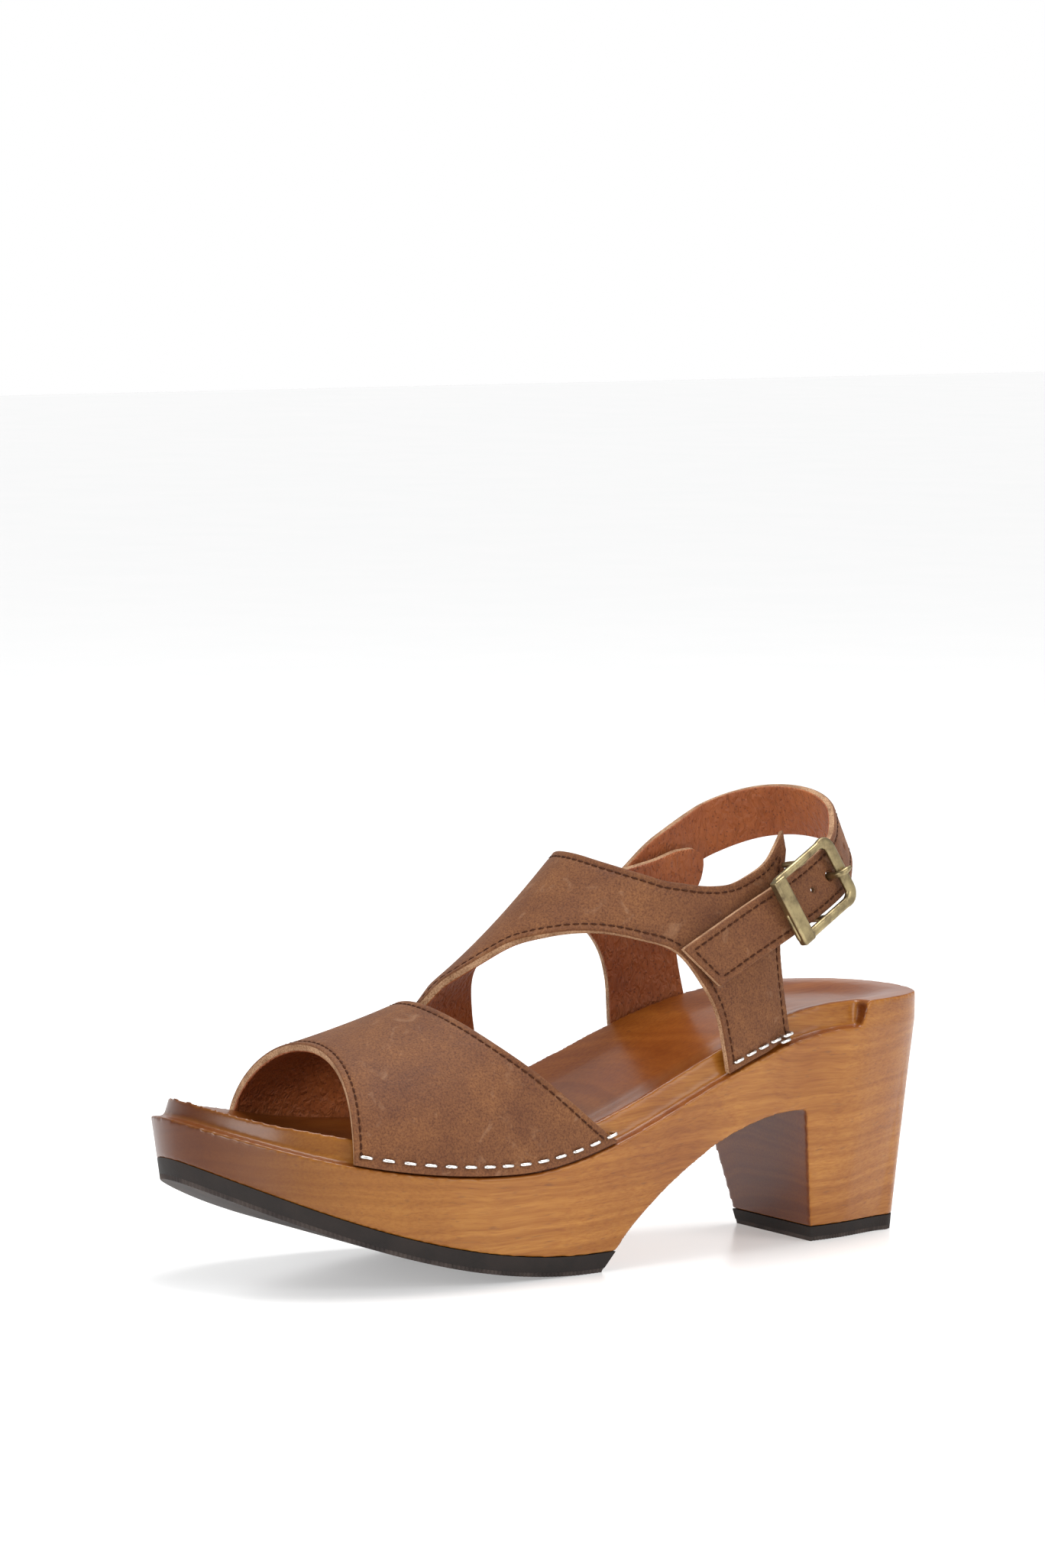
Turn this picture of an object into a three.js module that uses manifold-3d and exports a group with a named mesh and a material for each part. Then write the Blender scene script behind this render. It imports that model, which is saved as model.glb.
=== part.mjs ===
// A wooden clog sandal for the left foot, in millimetres. The toe points along -Y, the heel along +Y,
// the outer side of the foot is +X and the ground is z = 0.
// A carved wooden sole carries a leather vamp and a leather instep piece, both lined and stapled into a
// rebate round the footbed. An ankle strap is sewn to the inner tab and closes in a brass buckle.

import * as THREE from "three";
import { mergeVertices } from "three/addons/utils/BufferGeometryUtils.js";
import { TessellateModifier } from "three/addons/modifiers/TessellateModifier.js";
import Module from "manifold-3d";

const wasm = await Module();
wasm.setup();

// Clearance between pieces that touch.
const GAP = 0.3;

// Sole: overall sizes.
const SOLE_LENGTH = 246;
const BALL_WIDTH = 92;
const FOREFOOT_LEVEL = 32.4; // ledge of the rebate above the ground, at the ball
const TOE_SPRING = 16.4; // rise of the ledge from the ball to the toe
const HEEL_RISE = 33.6; // rise of the ledge from the ball to the seat
const BALL_AT = -40; // where the ledge is lowest
const TOE_SPRING_RUN = 85;
const SEAT_AT = 84; // where the ledge levels out under the heel
const RIM_HEIGHT = 7.5; // footbed rim above the ledge
const TOE_RIM_HEIGHT = 5.3;
const TOE_RIM_RUN = 36; // from the toe to where the rim has its full height
const RIM_DRAFT = 1.6; // how far the rim's wall leans in
const DISH_DEPTH = 2.6; // hollow of the footbed below its rim
const DISH_MARGIN = 16; // breadth of the slope from the rim down into the hollow
const SIDE_TAPER = 0.2; // inward lean of the side walls, per mm of depth
const TOE_TAPER = 0.12;
const BACK_TAPER = 0.09;

// Underside.
const OUTSOLE_THICKNESS = 6;
const HEEL_LIFT_THICKNESS = 4.6;
const ROCKER_RISE = 30.5; // rise of the rubber tread at the toe
const ROCKER_START = -10;
const ROCKER_POWER = 1.9;
const TREAD_END = -6;
const BREAST_FOOT = 77.5; // front of the heel at the ground
const BREAST_TOP = 69.5; // front of the heel at the arch
const ARCH_LEVEL = 42; // underside of the arch above the ground

// Leather.
const LEATHER_INSET = 0.3; // from the sole's side to the leather's outer face
const OUTER_THICKNESS = 1.7;
const LINING_THICKNESS = 0.8;
const RIM_FIT = 0.9; // between the leather and the footbed rim, and between the two layers, in all
const HEM_ANGLE = 1; // lift of the leather's lower edge off the ledge, in degrees round the form
const TUCK_CLEARANCE = 0.9; // between the vamp's lining and the instep piece that passes under it
const TUCK_LENGTH = 9;
const TUCK_RUN = 13; // stretch over which the instep piece comes back up
const PATTERN_FACET = 18;

// Form that the leather is drawn over.
const VAMP_RISE = 29; // ridge above the ledge at the vamp's front edge
const VAMP_SLOPE = 0.4;
const INSTEP_SLOPE = 0.3;
const INSTEP_START = -38;
const INSTEP_SOFTNESS = 5;
const RIDGE_AT_TOE = -7.3;
const RIDGE_AT_ANKLE = -1.9;
const ROUNDNESS_AT_TOE = 1.9; // exponent of the section's rounded arch
const ROUNDNESS_AT_ANKLE = 1.67;

// Ankle strap.
const STRAP_WIDTH = 16;
const STRAP_OUTER = 1.5;
const STRAP_LINING = 0.8;
const STRAP_SKEW = 5.5; // the free end is cut a little aslant
const HOLE_RADIUS = 2;
const HOLE_PITCH = 8;
const HOLE_COUNT = 5;

// Buckle.
const BUCKLE_AT = 41.5; // from the strap's free end to the buckle's centre bar
const BUCKLE_LENGTH = 27;
const BUCKLE_PLAY = 1; // between the strap's face and the end bars
const SIDE_CLEARANCE = 0.7; // between the strap's edge and the side rails
const RAIL = 2;
const REAR_BAR = 3;
const KEEPER_PLATE = 7.5;
const FRAME_THICKNESS = 2;
const PIVOT_RADIUS = 1;
const TAB_THICKNESS = 1.2;
const TAB_WIDTH = 13;
const TAB_LENGTH = 15;
const PRONG_WIRE = 0.75; // radius
const PRONG_EYE_WIDTH = 3;
const PRONG_HOLE = 8.3; // from the centre bar to the strap hole that the prong goes through

// Staples.
const STAPLE_CROWN = 4;
const STAPLE_WIRE = 0.9;
const STAPLE_LEG = 8;
const STAPLE_HEIGHT = 3.3; // above the ledge
const VAMP_STAPLE_PITCH = 6;
const QUARTER_STAPLE_PITCH = 4.9;
const STAPLE_MARGIN = 3.4; // from the leather's edge to the first staple

// The patterns are drawn for this sole and graded to any other.
const PATTERN_LENGTH = 246;
const PATTERN_WIDTH = 92;
const LENGTH_GRADE = SOLE_LENGTH / PATTERN_LENGTH;
const WIDTH_GRADE = BALL_WIDTH / PATTERN_WIDTH;
const SEAT_LEVEL = FOREFOOT_LEVEL + HEEL_RISE;

// Outline of the sole at the ledge as [x, y], from the toe along the outer side to the heel and back.
const SOLE_OUTLINE = [
  [-12, -125.5], [14, -112], [30, -92], [40, -60], [41.2, -25], [38, 20], [34, 60], [30, 94], [19, 116],
  [-2, 121], [-21, 112.5], [-31.5, 88], [-37, 50], [-39.5, 10], [-46, -30], [-51, -68], [-48, -98],
  [-34, -119.8],
];
const OUTLINE_SAMPLES = 70;
const SOLE_FACET = 13;

// Underside of the arch as [y, z], from the tread to the top of the heel's front.
const ARCH_CURVE = [[-1.3, 6], [5.6, 14], [20, 25.8], [37, 35.7], [55, 41]];

// Edges of the instep piece as [y, degrees round the form]: 0 is the outer ledge, 90 the ridge, 180 the
// inner ledge.
const TOP_EDGE = [
  [59, 33.8], [57, 32.9], [52.5, 33.2], [43, 34.8], [34.5, 38.6], [26.6, 44], [19.3, 50.6], [11, 62],
  [5.5, 75], [3.5, 90], [5.5, 105], [11, 118], [19.3, 129.4], [28, 137], [39, 144], [51, 148], [60, 149.5],
];
const TAB_END = [[66.5, 151], [70.5, 153.5], [70, 157], [66, 159.5]];
const INNER_REAR_EDGE = [[62, 162], [63, 167], [66, 175], [67.5, 180 - HEM_ANGLE]];
const INNER_FRONT_EDGE = [
  [41, 180 - HEM_ANGLE], [40.3, 173], [38.8, 164.6], [34.5, 156.8], [25, 147], [12, 136.8], [3, 127],
  [-5, 121.5], [-11.5, 122], [-14, 128], [-13.4, 135], [-10, 147], [-7, 157], [-5.5, 167],
];
const NECK_FRONT_EDGE = [[-21.6, 167], [-27.5, 160], [-37, 145], [-46, 130], [-52, 118]];
const OUTER_FRONT_EDGE = [
  [-46, 112], [-41, 105], [-35.9, 99.5], [-28.3, 90], [-21.1, 82], [-13.3, 70], [-2.5, 56.5], [9.5, 43.7],
  [21.4, 33], [28.9, 23.2], [33.6, 15.4], [35.8, 7.2], [37, HEM_ANGLE],
];
const OUTER_REAR_EDGE = [[62.8, HEM_ANGLE], [61.6, 5.4], [60.2, 11.4], [59.4, 17], [58.8, 22], [58.4, 28]];

// Edges of the vamp: how far they run back from their foremost point, at the ridge and at the ledges.
const VAMP_FRONT = -82.4;
const VAMP_FRONT_OUTER = -89.4;
const VAMP_FRONT_INNER = -85.7;
const VAMP_REAR = -47;
const VAMP_REAR_LEDGE = -3.6;
const VAMP_REAR_SWEEP = 1.12;

// Middle of the ankle strap. On the leather: [y, height above the seat, lift off the leather].
const STRAP_FRONT = [[29.5, 23, 2.4], [43, 30, 3], [57, 37.2, 4.6]];
const STRAP_END = [[60, 46.5, 2.4], [51, 38.6, 2.2], [44, 32.6, 2]];
// Behind the leather: [x, y, height above the seat].
const STRAP_LOOP = [
  [32.8, 70, 44], [29.5, 79, 49], [24, 84.5, 52.8], [13, 91, 58], [0, 93.5, 60.8], [-13, 91, 61.6],
  [-24.5, 84.8, 59.8], [-33, 74.5, 54.8],
];
const STRAP_LEAN_SIDE = THREE.MathUtils.degToRad(7);
const STRAP_LEAN_BACK = THREE.MathUtils.degToRad(22);
const STRAP_LEAN_GATHER = 4; // how closely the lean gathers at the back

const { clamp, degToRad, lerp, smoothstep } = THREE.MathUtils;

// ---- Solids ---------------------------------------------------------------------------------------

// A closed geometry as a manifold solid.
function solid(geometry, matrix = new THREE.Matrix4()) {
  const bare = new THREE.BufferGeometry().setAttribute("position", geometry.getAttribute("position"));
  bare.setIndex(geometry.index);
  const merged = mergeVertices(bare.clone().applyMatrix4(matrix), 1e-4);
  return new wasm.Manifold(
    new wasm.Mesh({
      numProp: 3,
      vertProperties: merged.attributes.position.array,
      triVerts: new Uint32Array(merged.index.array),
    }),
  );
}

// A manifold solid as a geometry with flat faces.
function geometryOf(body) {
  const mesh = body.getMesh();
  const geometry = new THREE.BufferGeometry();
  geometry.setAttribute("position", new THREE.BufferAttribute(mesh.vertProperties, 3));
  geometry.setIndex(new THREE.BufferAttribute(mesh.triVerts, 1));
  const flat = geometry.toNonIndexed();
  flat.computeVertexNormals();
  return flat;
}

function without(body, cutters) {
  return cutters.reduce((left, cutter) => left.subtract(cutter), body);
}

// A side-view outline of [y, z] points, extruded across the whole shoe.
function sideSlab(points) {
  const shape = new THREE.Shape(points.map(([y, z]) => new THREE.Vector2(y, z)));
  const across = 2 * BALL_WIDTH;
  const slab = new THREE.ExtrudeGeometry(shape, { depth: across, bevelEnabled: false });
  slab.translate(0, 0, -across / 2);
  const axes = new THREE.Matrix4().makeBasis(
    new THREE.Vector3(0, 1, 0),
    new THREE.Vector3(0, 0, 1),
    new THREE.Vector3(1, 0, 0),
  );
  return solid(slab, axes);
}

// Moves every vertex of a geometry to place(x, y, z).
function reshaped(geometry, place) {
  const position = geometry.attributes.position;
  const point = new THREE.Vector3();
  for (let i = 0; i < position.count; i += 1) {
    point.fromBufferAttribute(position, i);
    const placed = place(point.x, point.y, point.z);
    position.setXYZ(i, placed.x, placed.y, placed.z);
  }
  return solid(geometry);
}

// A sheet in a grid of facets: place(u, v, face) takes u and v from 0 to 1, and face is 1 on the outer
// face and 0 on the inner one.
function sheet(columns, rows, place) {
  const at = (i, j, face) => place(i / columns, j / rows, face);
  const corners = [];
  const quad = (a, b, c, d) => corners.push(a, b, c, a, c, d);
  for (let i = 0; i < columns; i += 1) {
    for (let j = 0; j < rows; j += 1) {
      quad(at(i, j, 1), at(i + 1, j, 1), at(i + 1, j + 1, 1), at(i, j + 1, 1));
      const [a, b, c, d] = [at(i, j, 0), at(i + 1, j, 0), at(i + 1, j + 1, 0), at(i, j + 1, 0)];
      corners.push(a, c, b, a, d, c);
    }
  }
  for (let i = 0; i < columns; i += 1) {
    quad(at(i, 0, 0), at(i + 1, 0, 0), at(i + 1, 0, 1), at(i, 0, 1));
    quad(at(i + 1, rows, 0), at(i, rows, 0), at(i, rows, 1), at(i + 1, rows, 1));
  }
  for (let j = 0; j < rows; j += 1) {
    quad(at(0, j + 1, 0), at(0, j, 0), at(0, j, 1), at(0, j + 1, 1));
    quad(at(columns, j, 0), at(columns, j + 1, 0), at(columns, j + 1, 1), at(columns, j, 1));
  }
  return solid(new THREE.BufferGeometry().setFromPoints(corners));
}

// A flat shape cut into facets and bent by place(u, v, face), in the shape's own units.
function bent(shape, facet, place) {
  const slab = new THREE.ExtrudeGeometry(shape, { depth: 1, bevelEnabled: false });
  slab.deleteAttribute("normal");
  slab.deleteAttribute("uv");
  const rounds = 24;
  return reshaped(new TessellateModifier(facet, rounds).modify(slab), place);
}

function smoothCurve(points, steps = 3) {
  const curve = new THREE.SplineCurve(points.map(([a, b]) => new THREE.Vector2(a, b)));
  return curve.getPoints(steps * (points.length - 1));
}

// ---- Sole -----------------------------------------------------------------------------------------

const outline = new THREE.CatmullRomCurve3(
  SOLE_OUTLINE.map(([x, y]) => new THREE.Vector3(x * WIDTH_GRADE, y * LENGTH_GRADE, 0)),
  true,
  "centripetal",
).getSpacedPoints(OUTLINE_SAMPLES).slice(0, -1);
const toeIndex = outline.reduce((best, p, i) => (p.y < outline[best].y ? i : best), 0);
const fromToe = [...outline.slice(toeIndex), ...outline.slice(0, toeIndex)];
const heelIndex = fromToe.reduce((best, p, i) => (p.y > fromToe[best].y ? i : best), 0);
const outerChain = fromToe.slice(0, heelIndex + 1);
const innerChain = [...fromToe.slice(heelIndex), fromToe[0]].reverse();
const outward = fromToe.map((p, i) => {
  const before = fromToe.at(i - 1);
  const after = fromToe[(i + 1) % fromToe.length];
  return new THREE.Vector3(after.y - before.y, before.x - after.x, 0).normalize();
});

// Half outline at y: side 1 is the outer edge and -1 the inner one.
function edgeX(side, y) {
  const chain = side > 0 ? outerChain : innerChain;
  const beyond = chain.findIndex((p) => p.y > y);
  const next = beyond < 0 ? chain.length - 1 : Math.max(beyond, 1);
  const a = chain[next - 1];
  const b = chain[next];
  return lerp(a.x, b.x, (y - a.y) / (b.y - a.y));
}

// Height of the rebate's ledge.
function ledge(y) {
  const ball = BALL_AT * LENGTH_GRADE;
  const toe = Math.max(0, (ball - y) / (TOE_SPRING_RUN * LENGTH_GRADE));
  const heel = smoothstep(y, ball, SEAT_AT * LENGTH_GRADE);
  return FOREFOOT_LEVEL + TOE_SPRING * toe * toe + HEEL_RISE * heel;
}

// Height of the footbed's rim above the ledge.
function rimHeight(y) {
  const fromToeEnd = y / LENGTH_GRADE + PATTERN_LENGTH / 2;
  return lerp(TOE_RIM_HEIGHT, RIM_HEIGHT, smoothstep(fromToeEnd, 0, TOE_RIM_RUN));
}

// The rebate runs out towards the back of the heel, where the side rises to the rim.
function ledgeTop(y) {
  const runOut = smoothstep(y, 87 * LENGTH_GRADE, 92 * LENGTH_GRADE);
  return ledge(y) + (RIM_HEIGHT - GAP) * runOut;
}

const REBATE_WIDTH = LEATHER_INSET + OUTER_THICKNESS + LINING_THICKNESS + RIM_FIT;

// A ring of points round the sole, set in from its outline and at a height of its own.
function ring(inset, height) {
  return fromToe.map((p, i) => {
    const set = inset(p, outward[i]);
    return new THREE.Vector3(p.x - outward[i].x * set, p.y - outward[i].y * set, height(p.y));
  });
}

function capTriangles(points) {
  const flat = points.map((p) => new THREE.Vector2(p.x, p.y));
  const shape = new THREE.ShapeGeometry(new THREE.Shape(flat));
  shape.deleteAttribute("normal");
  shape.deleteAttribute("uv");
  const rounds = 16;
  return new TessellateModifier(SOLE_FACET, rounds).modify(shape.toNonIndexed());
}

// Joins rings from the lowest to the highest, with a flat floor and a dished top.
function skinned(rings, topHeight) {
  const corners = [];
  const count = fromToe.length;
  for (let level = 0; level < rings.length - 1; level += 1) {
    const low = rings[level];
    const high = rings[level + 1];
    for (let i = 0; i < count; i += 1) {
      const j = (i + 1) % count;
      corners.push(low[i], low[j], high[j], low[i], high[j], high[i]);
    }
  }
  const floor = capTriangles(rings[0]).attributes.position;
  const roof = capTriangles(rings.at(-1)).attributes.position;
  const vertex = (attribute, i) => new THREE.Vector3().fromBufferAttribute(attribute, i);
  for (let i = 0; i < floor.count; i += 3) {
    for (const k of [0, 2, 1]) corners.push(vertex(floor, i + k).setZ(rings[0][0].z));
  }
  const rim = rings.at(-1);
  for (let i = 0; i < roof.count; i += 1) {
    const p = vertex(roof, i);
    corners.push(p.setZ(topHeight(p, rim)));
  }
  return solid(new THREE.BufferGeometry().setFromPoints(corners));
}

// Height of the footbed: the rim's own height at its edge, and a smooth hollow inside it.
function footbed(p, rim) {
  const distances = rim.map((q) => Math.hypot(p.x - q.x, p.y - q.y));
  const reach = Math.min(...distances);
  const onRim = reach < 0.001;
  if (onRim) return rim[distances.indexOf(reach)].z;
  return ledge(p.y) + rimHeight(p.y) - DISH_DEPTH * smoothstep(reach, 0, DISH_MARGIN);
}

const BELOW_GROUND = -2;
const endTaper = (normal) => (normal.y < 0 ? TOE_TAPER : BACK_TAPER);
const lean = (normal) => SIDE_TAPER * normal.x ** 2 + endTaper(normal) * normal.y ** 2;
const blank = skinned(
  [
    ring((p, n) => lean(n) * (ledge(p.y) - BELOW_GROUND), () => BELOW_GROUND),
    ring(() => 0, ledgeTop),
    ring(() => REBATE_WIDTH, ledgeTop),
    ring(() => REBATE_WIDTH + RIM_DRAFT, (y) => ledge(y) + rimHeight(y)),
  ],
  footbed,
);

const toeEnd = (-PATTERN_LENGTH / 2 - 10) * LENGTH_GRADE;
const heelEnd = (PATTERN_LENGTH / 2 + 10) * LENGTH_GRADE;

// Bottom of the rubber tread: flat at its rear and rolling up to the toe.
function rocker(y) {
  const run = (PATTERN_LENGTH / 2 + ROCKER_START) * LENGTH_GRADE;
  const t = Math.max(0, (ROCKER_START * LENGTH_GRADE - y) / run);
  return ROCKER_RISE * t ** ROCKER_POWER;
}

// The rocker's line from beyond the toe, then flat to a given y.
function rockerLine(lift, to) {
  const steps = 12;
  const rolling = Array.from({ length: steps + 1 }, (_, i) => {
    const y = lerp(toeEnd, ROCKER_START * LENGTH_GRADE, i / steps);
    return [y, rocker(y) + lift];
  });
  return [...rolling, [to, lift]];
}

const treadEnd = TREAD_END * LENGTH_GRADE;
const archFoot = ARCH_CURVE[0][0] * LENGTH_GRADE;
const breastFoot = BREAST_FOOT * LENGTH_GRADE;
const breastTop = BREAST_TOP * LENGTH_GRADE;
const breastAt = (z) => lerp(breastFoot, breastTop, z / ARCH_LEVEL);
const archLift = OUTSOLE_THICKNESS - ARCH_CURVE[0][1];
const archLine = smoothCurve(
  [...ARCH_CURVE.map(([y, z]) => [y * LENGTH_GRADE, z + archLift]), [breastTop, ARCH_LEVEL]],
).map((p) => [p.x, p.y]);

// Everything below the wood: rubber, arch and the space round the heel.
const underside = sideSlab([
  [toeEnd, 2 * BELOW_GROUND],
  [heelEnd, 2 * BELOW_GROUND],
  [heelEnd, HEEL_LIFT_THICKNESS],
  [breastAt(HEEL_LIFT_THICKNESS), HEEL_LIFT_THICKNESS],
  ...archLine.reverse(),
  ...rockerLine(OUTSOLE_THICKNESS, archFoot).reverse().slice(1),
]);

const treadBand = sideSlab([
  ...rockerLine(0, treadEnd),
  ...rockerLine(OUTSOLE_THICKNESS - GAP, archFoot).reverse(),
]);

const liftTop = HEEL_LIFT_THICKNESS - GAP;
const liftBand = sideSlab([
  [breastFoot, 0],
  [heelEnd, 0],
  [heelEnd, liftTop],
  [breastAt(liftTop), liftTop],
]);

// ---- Form under the leather -----------------------------------------------------------------------

function blendToAnkle(y) {
  return smoothstep(y, -75 * LENGTH_GRADE, -5 * LENGTH_GRADE);
}

function ridgeRise(y) {
  const t = y / LENGTH_GRADE;
  const past = t - INSTEP_START;
  const soft = (past + Math.hypot(past, INSTEP_SOFTNESS)) / 2;
  return VAMP_RISE + VAMP_SLOPE * (t + 90) + INSTEP_SLOPE * soft;
}

// A point of the form at y and at an angle in radians: 0 outer ledge, PI / 2 ridge, PI inner ledge.
function formPoint(y, angle) {
  const blend = blendToAnkle(y);
  const ridgeX = lerp(RIDGE_AT_TOE, RIDGE_AT_ANKLE, blend) * WIDTH_GRADE;
  const side = angle < Math.PI / 2 ? 1 : -1;
  const reach = edgeX(side, y) - side * LEATHER_INSET - ridgeX;
  const roundness = lerp(ROUNDNESS_AT_TOE, ROUNDNESS_AT_ANKLE, blend);
  const rise = Math.max(0, Math.sin(angle)) ** (2 / roundness);
  const x = ridgeX + reach * Math.abs(Math.cos(angle));
  return new THREE.Vector3(x, y, ledge(y) + ridgeRise(y) * rise);
}

function formNormal(y, angle) {
  const step = 0.05;
  const low = clamp(angle - step, 0, Math.PI);
  const high = clamp(angle + step, 0, Math.PI);
  const round = formPoint(y, high).sub(formPoint(y, low));
  const along = formPoint(y + 1, angle).sub(formPoint(y - 1, angle));
  return along.cross(round).normalize();
}

function onForm(y, angle, offset) {
  return formPoint(y, angle).addScaledVector(formNormal(y, angle), offset);
}

// The angle at which the form reaches a height, on side 1 or -1.
function angleAt(side, y, z) {
  const roundness = lerp(ROUNDNESS_AT_TOE, ROUNDNESS_AT_ANKLE, blendToAnkle(y));
  const share = clamp((z - ledge(y)) / ridgeRise(y), 0, 1);
  const angle = Math.asin(share ** (roundness / 2));
  return side > 0 ? angle : Math.PI - angle;
}

// ---- Leather --------------------------------------------------------------------------------------

const liningTop = OUTER_THICKNESS + GAP;
const liningBottom = liningTop + LINING_THICKNESS;
const TUCK_DEPTH = liningBottom + TUCK_CLEARANCE;
const MM_PER_DEGREE = 1.2; // rough girth of the form, so that facets come out even

// Rear and front edge of the vamp at an angle in degrees.
function vampRear(degrees) {
  const toLedge = (1 - Math.sin(degToRad(degrees))) ** VAMP_REAR_SWEEP;
  return lerp(VAMP_REAR, VAMP_REAR_LEDGE, toLedge) * LENGTH_GRADE;
}

function vampFront(degrees) {
  const toLedge = Math.cos(degToRad(degrees)) ** 2;
  const ledgeEnd = degrees < 90 ? VAMP_FRONT_OUTER : VAMP_FRONT_INNER;
  return lerp(VAMP_FRONT, ledgeEnd, toLedge) * LENGTH_GRADE;
}

const GIRTH_COLUMNS = 18;
const VAMP_ROWS = 7;
const INSTEP_ROWS = 14;

function vampSolid(outerDepth, innerDepth) {
  return sheet(VAMP_ROWS, GIRTH_COLUMNS, (u, v, face) => {
    const degrees = lerp(HEM_ANGLE, 180 - HEM_ANGLE, v);
    const y = lerp(vampFront(degrees), vampRear(degrees), u);
    return onForm(y, degToRad(degrees), -lerp(innerDepth, outerDepth, face));
  });
}

const graded = (points) => smoothCurve(points.map(([y, a]) => [y * LENGTH_GRADE, a]), 2);
const instepEdge = [
  graded(TOP_EDGE),
  graded(TAB_END),
  graded(INNER_REAR_EDGE),
  graded(INNER_FRONT_EDGE),
  graded(NECK_FRONT_EDGE),
  graded(OUTER_FRONT_EDGE),
  graded(OUTER_REAR_EDGE),
].flat();

// The instep piece passes under the rear edge of the vamp.
function tucked(y, degrees) {
  const behind = y - vampRear(degrees);
  return TUCK_DEPTH * (1 - smoothstep(behind, 1, TUCK_RUN));
}

// The instep piece as the form's surface, cut by a thick copy of its pattern.
function instepSolid(outerDepth, innerDepth) {
  const first = NECK_FRONT_EDGE.at(-1)[0] * LENGTH_GRADE - 4;
  const last = TAB_END[1][0] * LENGTH_GRADE + 4;
  const surface = sheet(INSTEP_ROWS, GIRTH_COLUMNS, (u, v, face) => {
    const degrees = lerp(HEM_ANGLE / 2, 180 - HEM_ANGLE / 2, v);
    const y = lerp(first, last, u);
    const depth = lerp(innerDepth, outerDepth, face) + tucked(y, degrees);
    return onForm(y, degToRad(degrees), -depth);
  });
  const shape = new THREE.Shape(instepEdge.map((p) => new THREE.Vector2(p.x, p.y * MM_PER_DEGREE)));
  const above = 5;
  const below = 14;
  const pattern = bent(shape, PATTERN_FACET, (y, v, face) =>
    onForm(y, degToRad(v / MM_PER_DEGREE), lerp(-below, above, face)));
  return surface.intersect(pattern);
}


// ---- Staples --------------------------------------------------------------------------------------

function stapleGeometry(crown, wire, leg, height) {
  const half = crown / 2;
  const inner = half - wire;
  const shape = new THREE.Shape([
    new THREE.Vector2(-half, -leg),
    new THREE.Vector2(-inner, -leg),
    new THREE.Vector2(-inner, height),
    new THREE.Vector2(inner, height),
    new THREE.Vector2(inner, -leg),
    new THREE.Vector2(half, -leg),
    new THREE.Vector2(half, height + wire),
    new THREE.Vector2(-half, height + wire),
  ]);
  const geometry = new THREE.ExtrudeGeometry(shape, { depth: wire, bevelEnabled: false });
  geometry.translate(0, 0, -wire / 2);
  return geometry.rotateX(Math.PI / 2);
}

// Frame of a staple on the leather: its crown along X, its legs along -Z.
function stapleFrame(side, y, height) {
  const angle = angleAt(side, y, ledge(y) + height);
  const normal = formNormal(y, angle);
  const ahead = formPoint(y + 1, angleAt(side, y + 1, ledge(y + 1) + height));
  const behind = formPoint(y - 1, angleAt(side, y - 1, ledge(y - 1) + height));
  const along = ahead.sub(behind).normalize();
  const up = normal.clone().cross(along).normalize();
  const frame = new THREE.Matrix4().makeBasis(along, up, normal);
  return frame.setPosition(formPoint(y, angle));
}

// A row of staples between two ends of a leather edge, both as y on the pattern.
function stapleRow(front, rear, pitch) {
  const first = front * LENGTH_GRADE + STAPLE_MARGIN;
  const last = rear * LENGTH_GRADE - STAPLE_MARGIN;
  const count = Math.round((last - first) / pitch);
  return Array.from({ length: count + 1 }, (_, i) => ({
    y: lerp(first, last, i / count),
    height: STAPLE_HEIGHT,
  }));
}

// The last staple of each quarter is doubled by one just below it.
function quarterRow(front, rear) {
  const row = stapleRow(front, rear, QUARTER_STAPLE_PITCH);
  const height = STAPLE_HEIGHT - STAPLE_WIRE - 2 * GAP;
  return [...row, { y: row.at(-1).y - 1, height }];
}

const stapleRows = [
  [1, "vamp_outer", stapleRow(VAMP_FRONT_OUTER, VAMP_REAR_LEDGE, VAMP_STAPLE_PITCH)],
  [-1, "vamp_inner", stapleRow(VAMP_FRONT_INNER, VAMP_REAR_LEDGE, VAMP_STAPLE_PITCH)],
  [1, "quarter_outer", quarterRow(OUTER_FRONT_EDGE.at(-1)[0], OUTER_REAR_EDGE[0][0])],
  [-1, "quarter_inner", quarterRow(INNER_FRONT_EDGE[0][0], INNER_REAR_EDGE.at(-1)[0])],
];
const staples = stapleRows.flatMap(([side, place, row]) =>
  row.map(({ y, height }, i) => {
    const name = `staple_${place}_${String(i + 1).padStart(2, "0")}`;
    return { name, frame: stapleFrame(side, y, height) };
  }));

const pocketBox = new THREE.BoxGeometry(
  STAPLE_CROWN + 2 * GAP,
  STAPLE_WIRE + 2 * GAP,
  STAPLE_LEG + GAP + 2,
);
pocketBox.translate(0, 0, 1 - (STAPLE_LEG + GAP) / 2);
const pockets = staples.map((staple) => solid(pocketBox, staple.frame));
const pocketsOf = (piece) => pockets.filter((_, i) => staples[i].name.includes(piece));

// ---- Ankle strap ----------------------------------------------------------------------------------

function overLeather(side, [y, height, lift]) {
  const at = y * LENGTH_GRADE;
  return onForm(at, angleAt(side, at, SEAT_LEVEL + height), lift);
}

const strapPath = new THREE.CatmullRomCurve3([
  ...STRAP_FRONT.map((p) => overLeather(1, p)),
  ...STRAP_LOOP.map(([x, y, height]) =>
    new THREE.Vector3(x * WIDTH_GRADE, y * LENGTH_GRADE, SEAT_LEVEL + height)),
  ...STRAP_END.map((p) => overLeather(-1, p)),
], false, "centripetal");
strapPath.arcLengthDivisions = 400;
const strapLength = strapPath.getLength();

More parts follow.
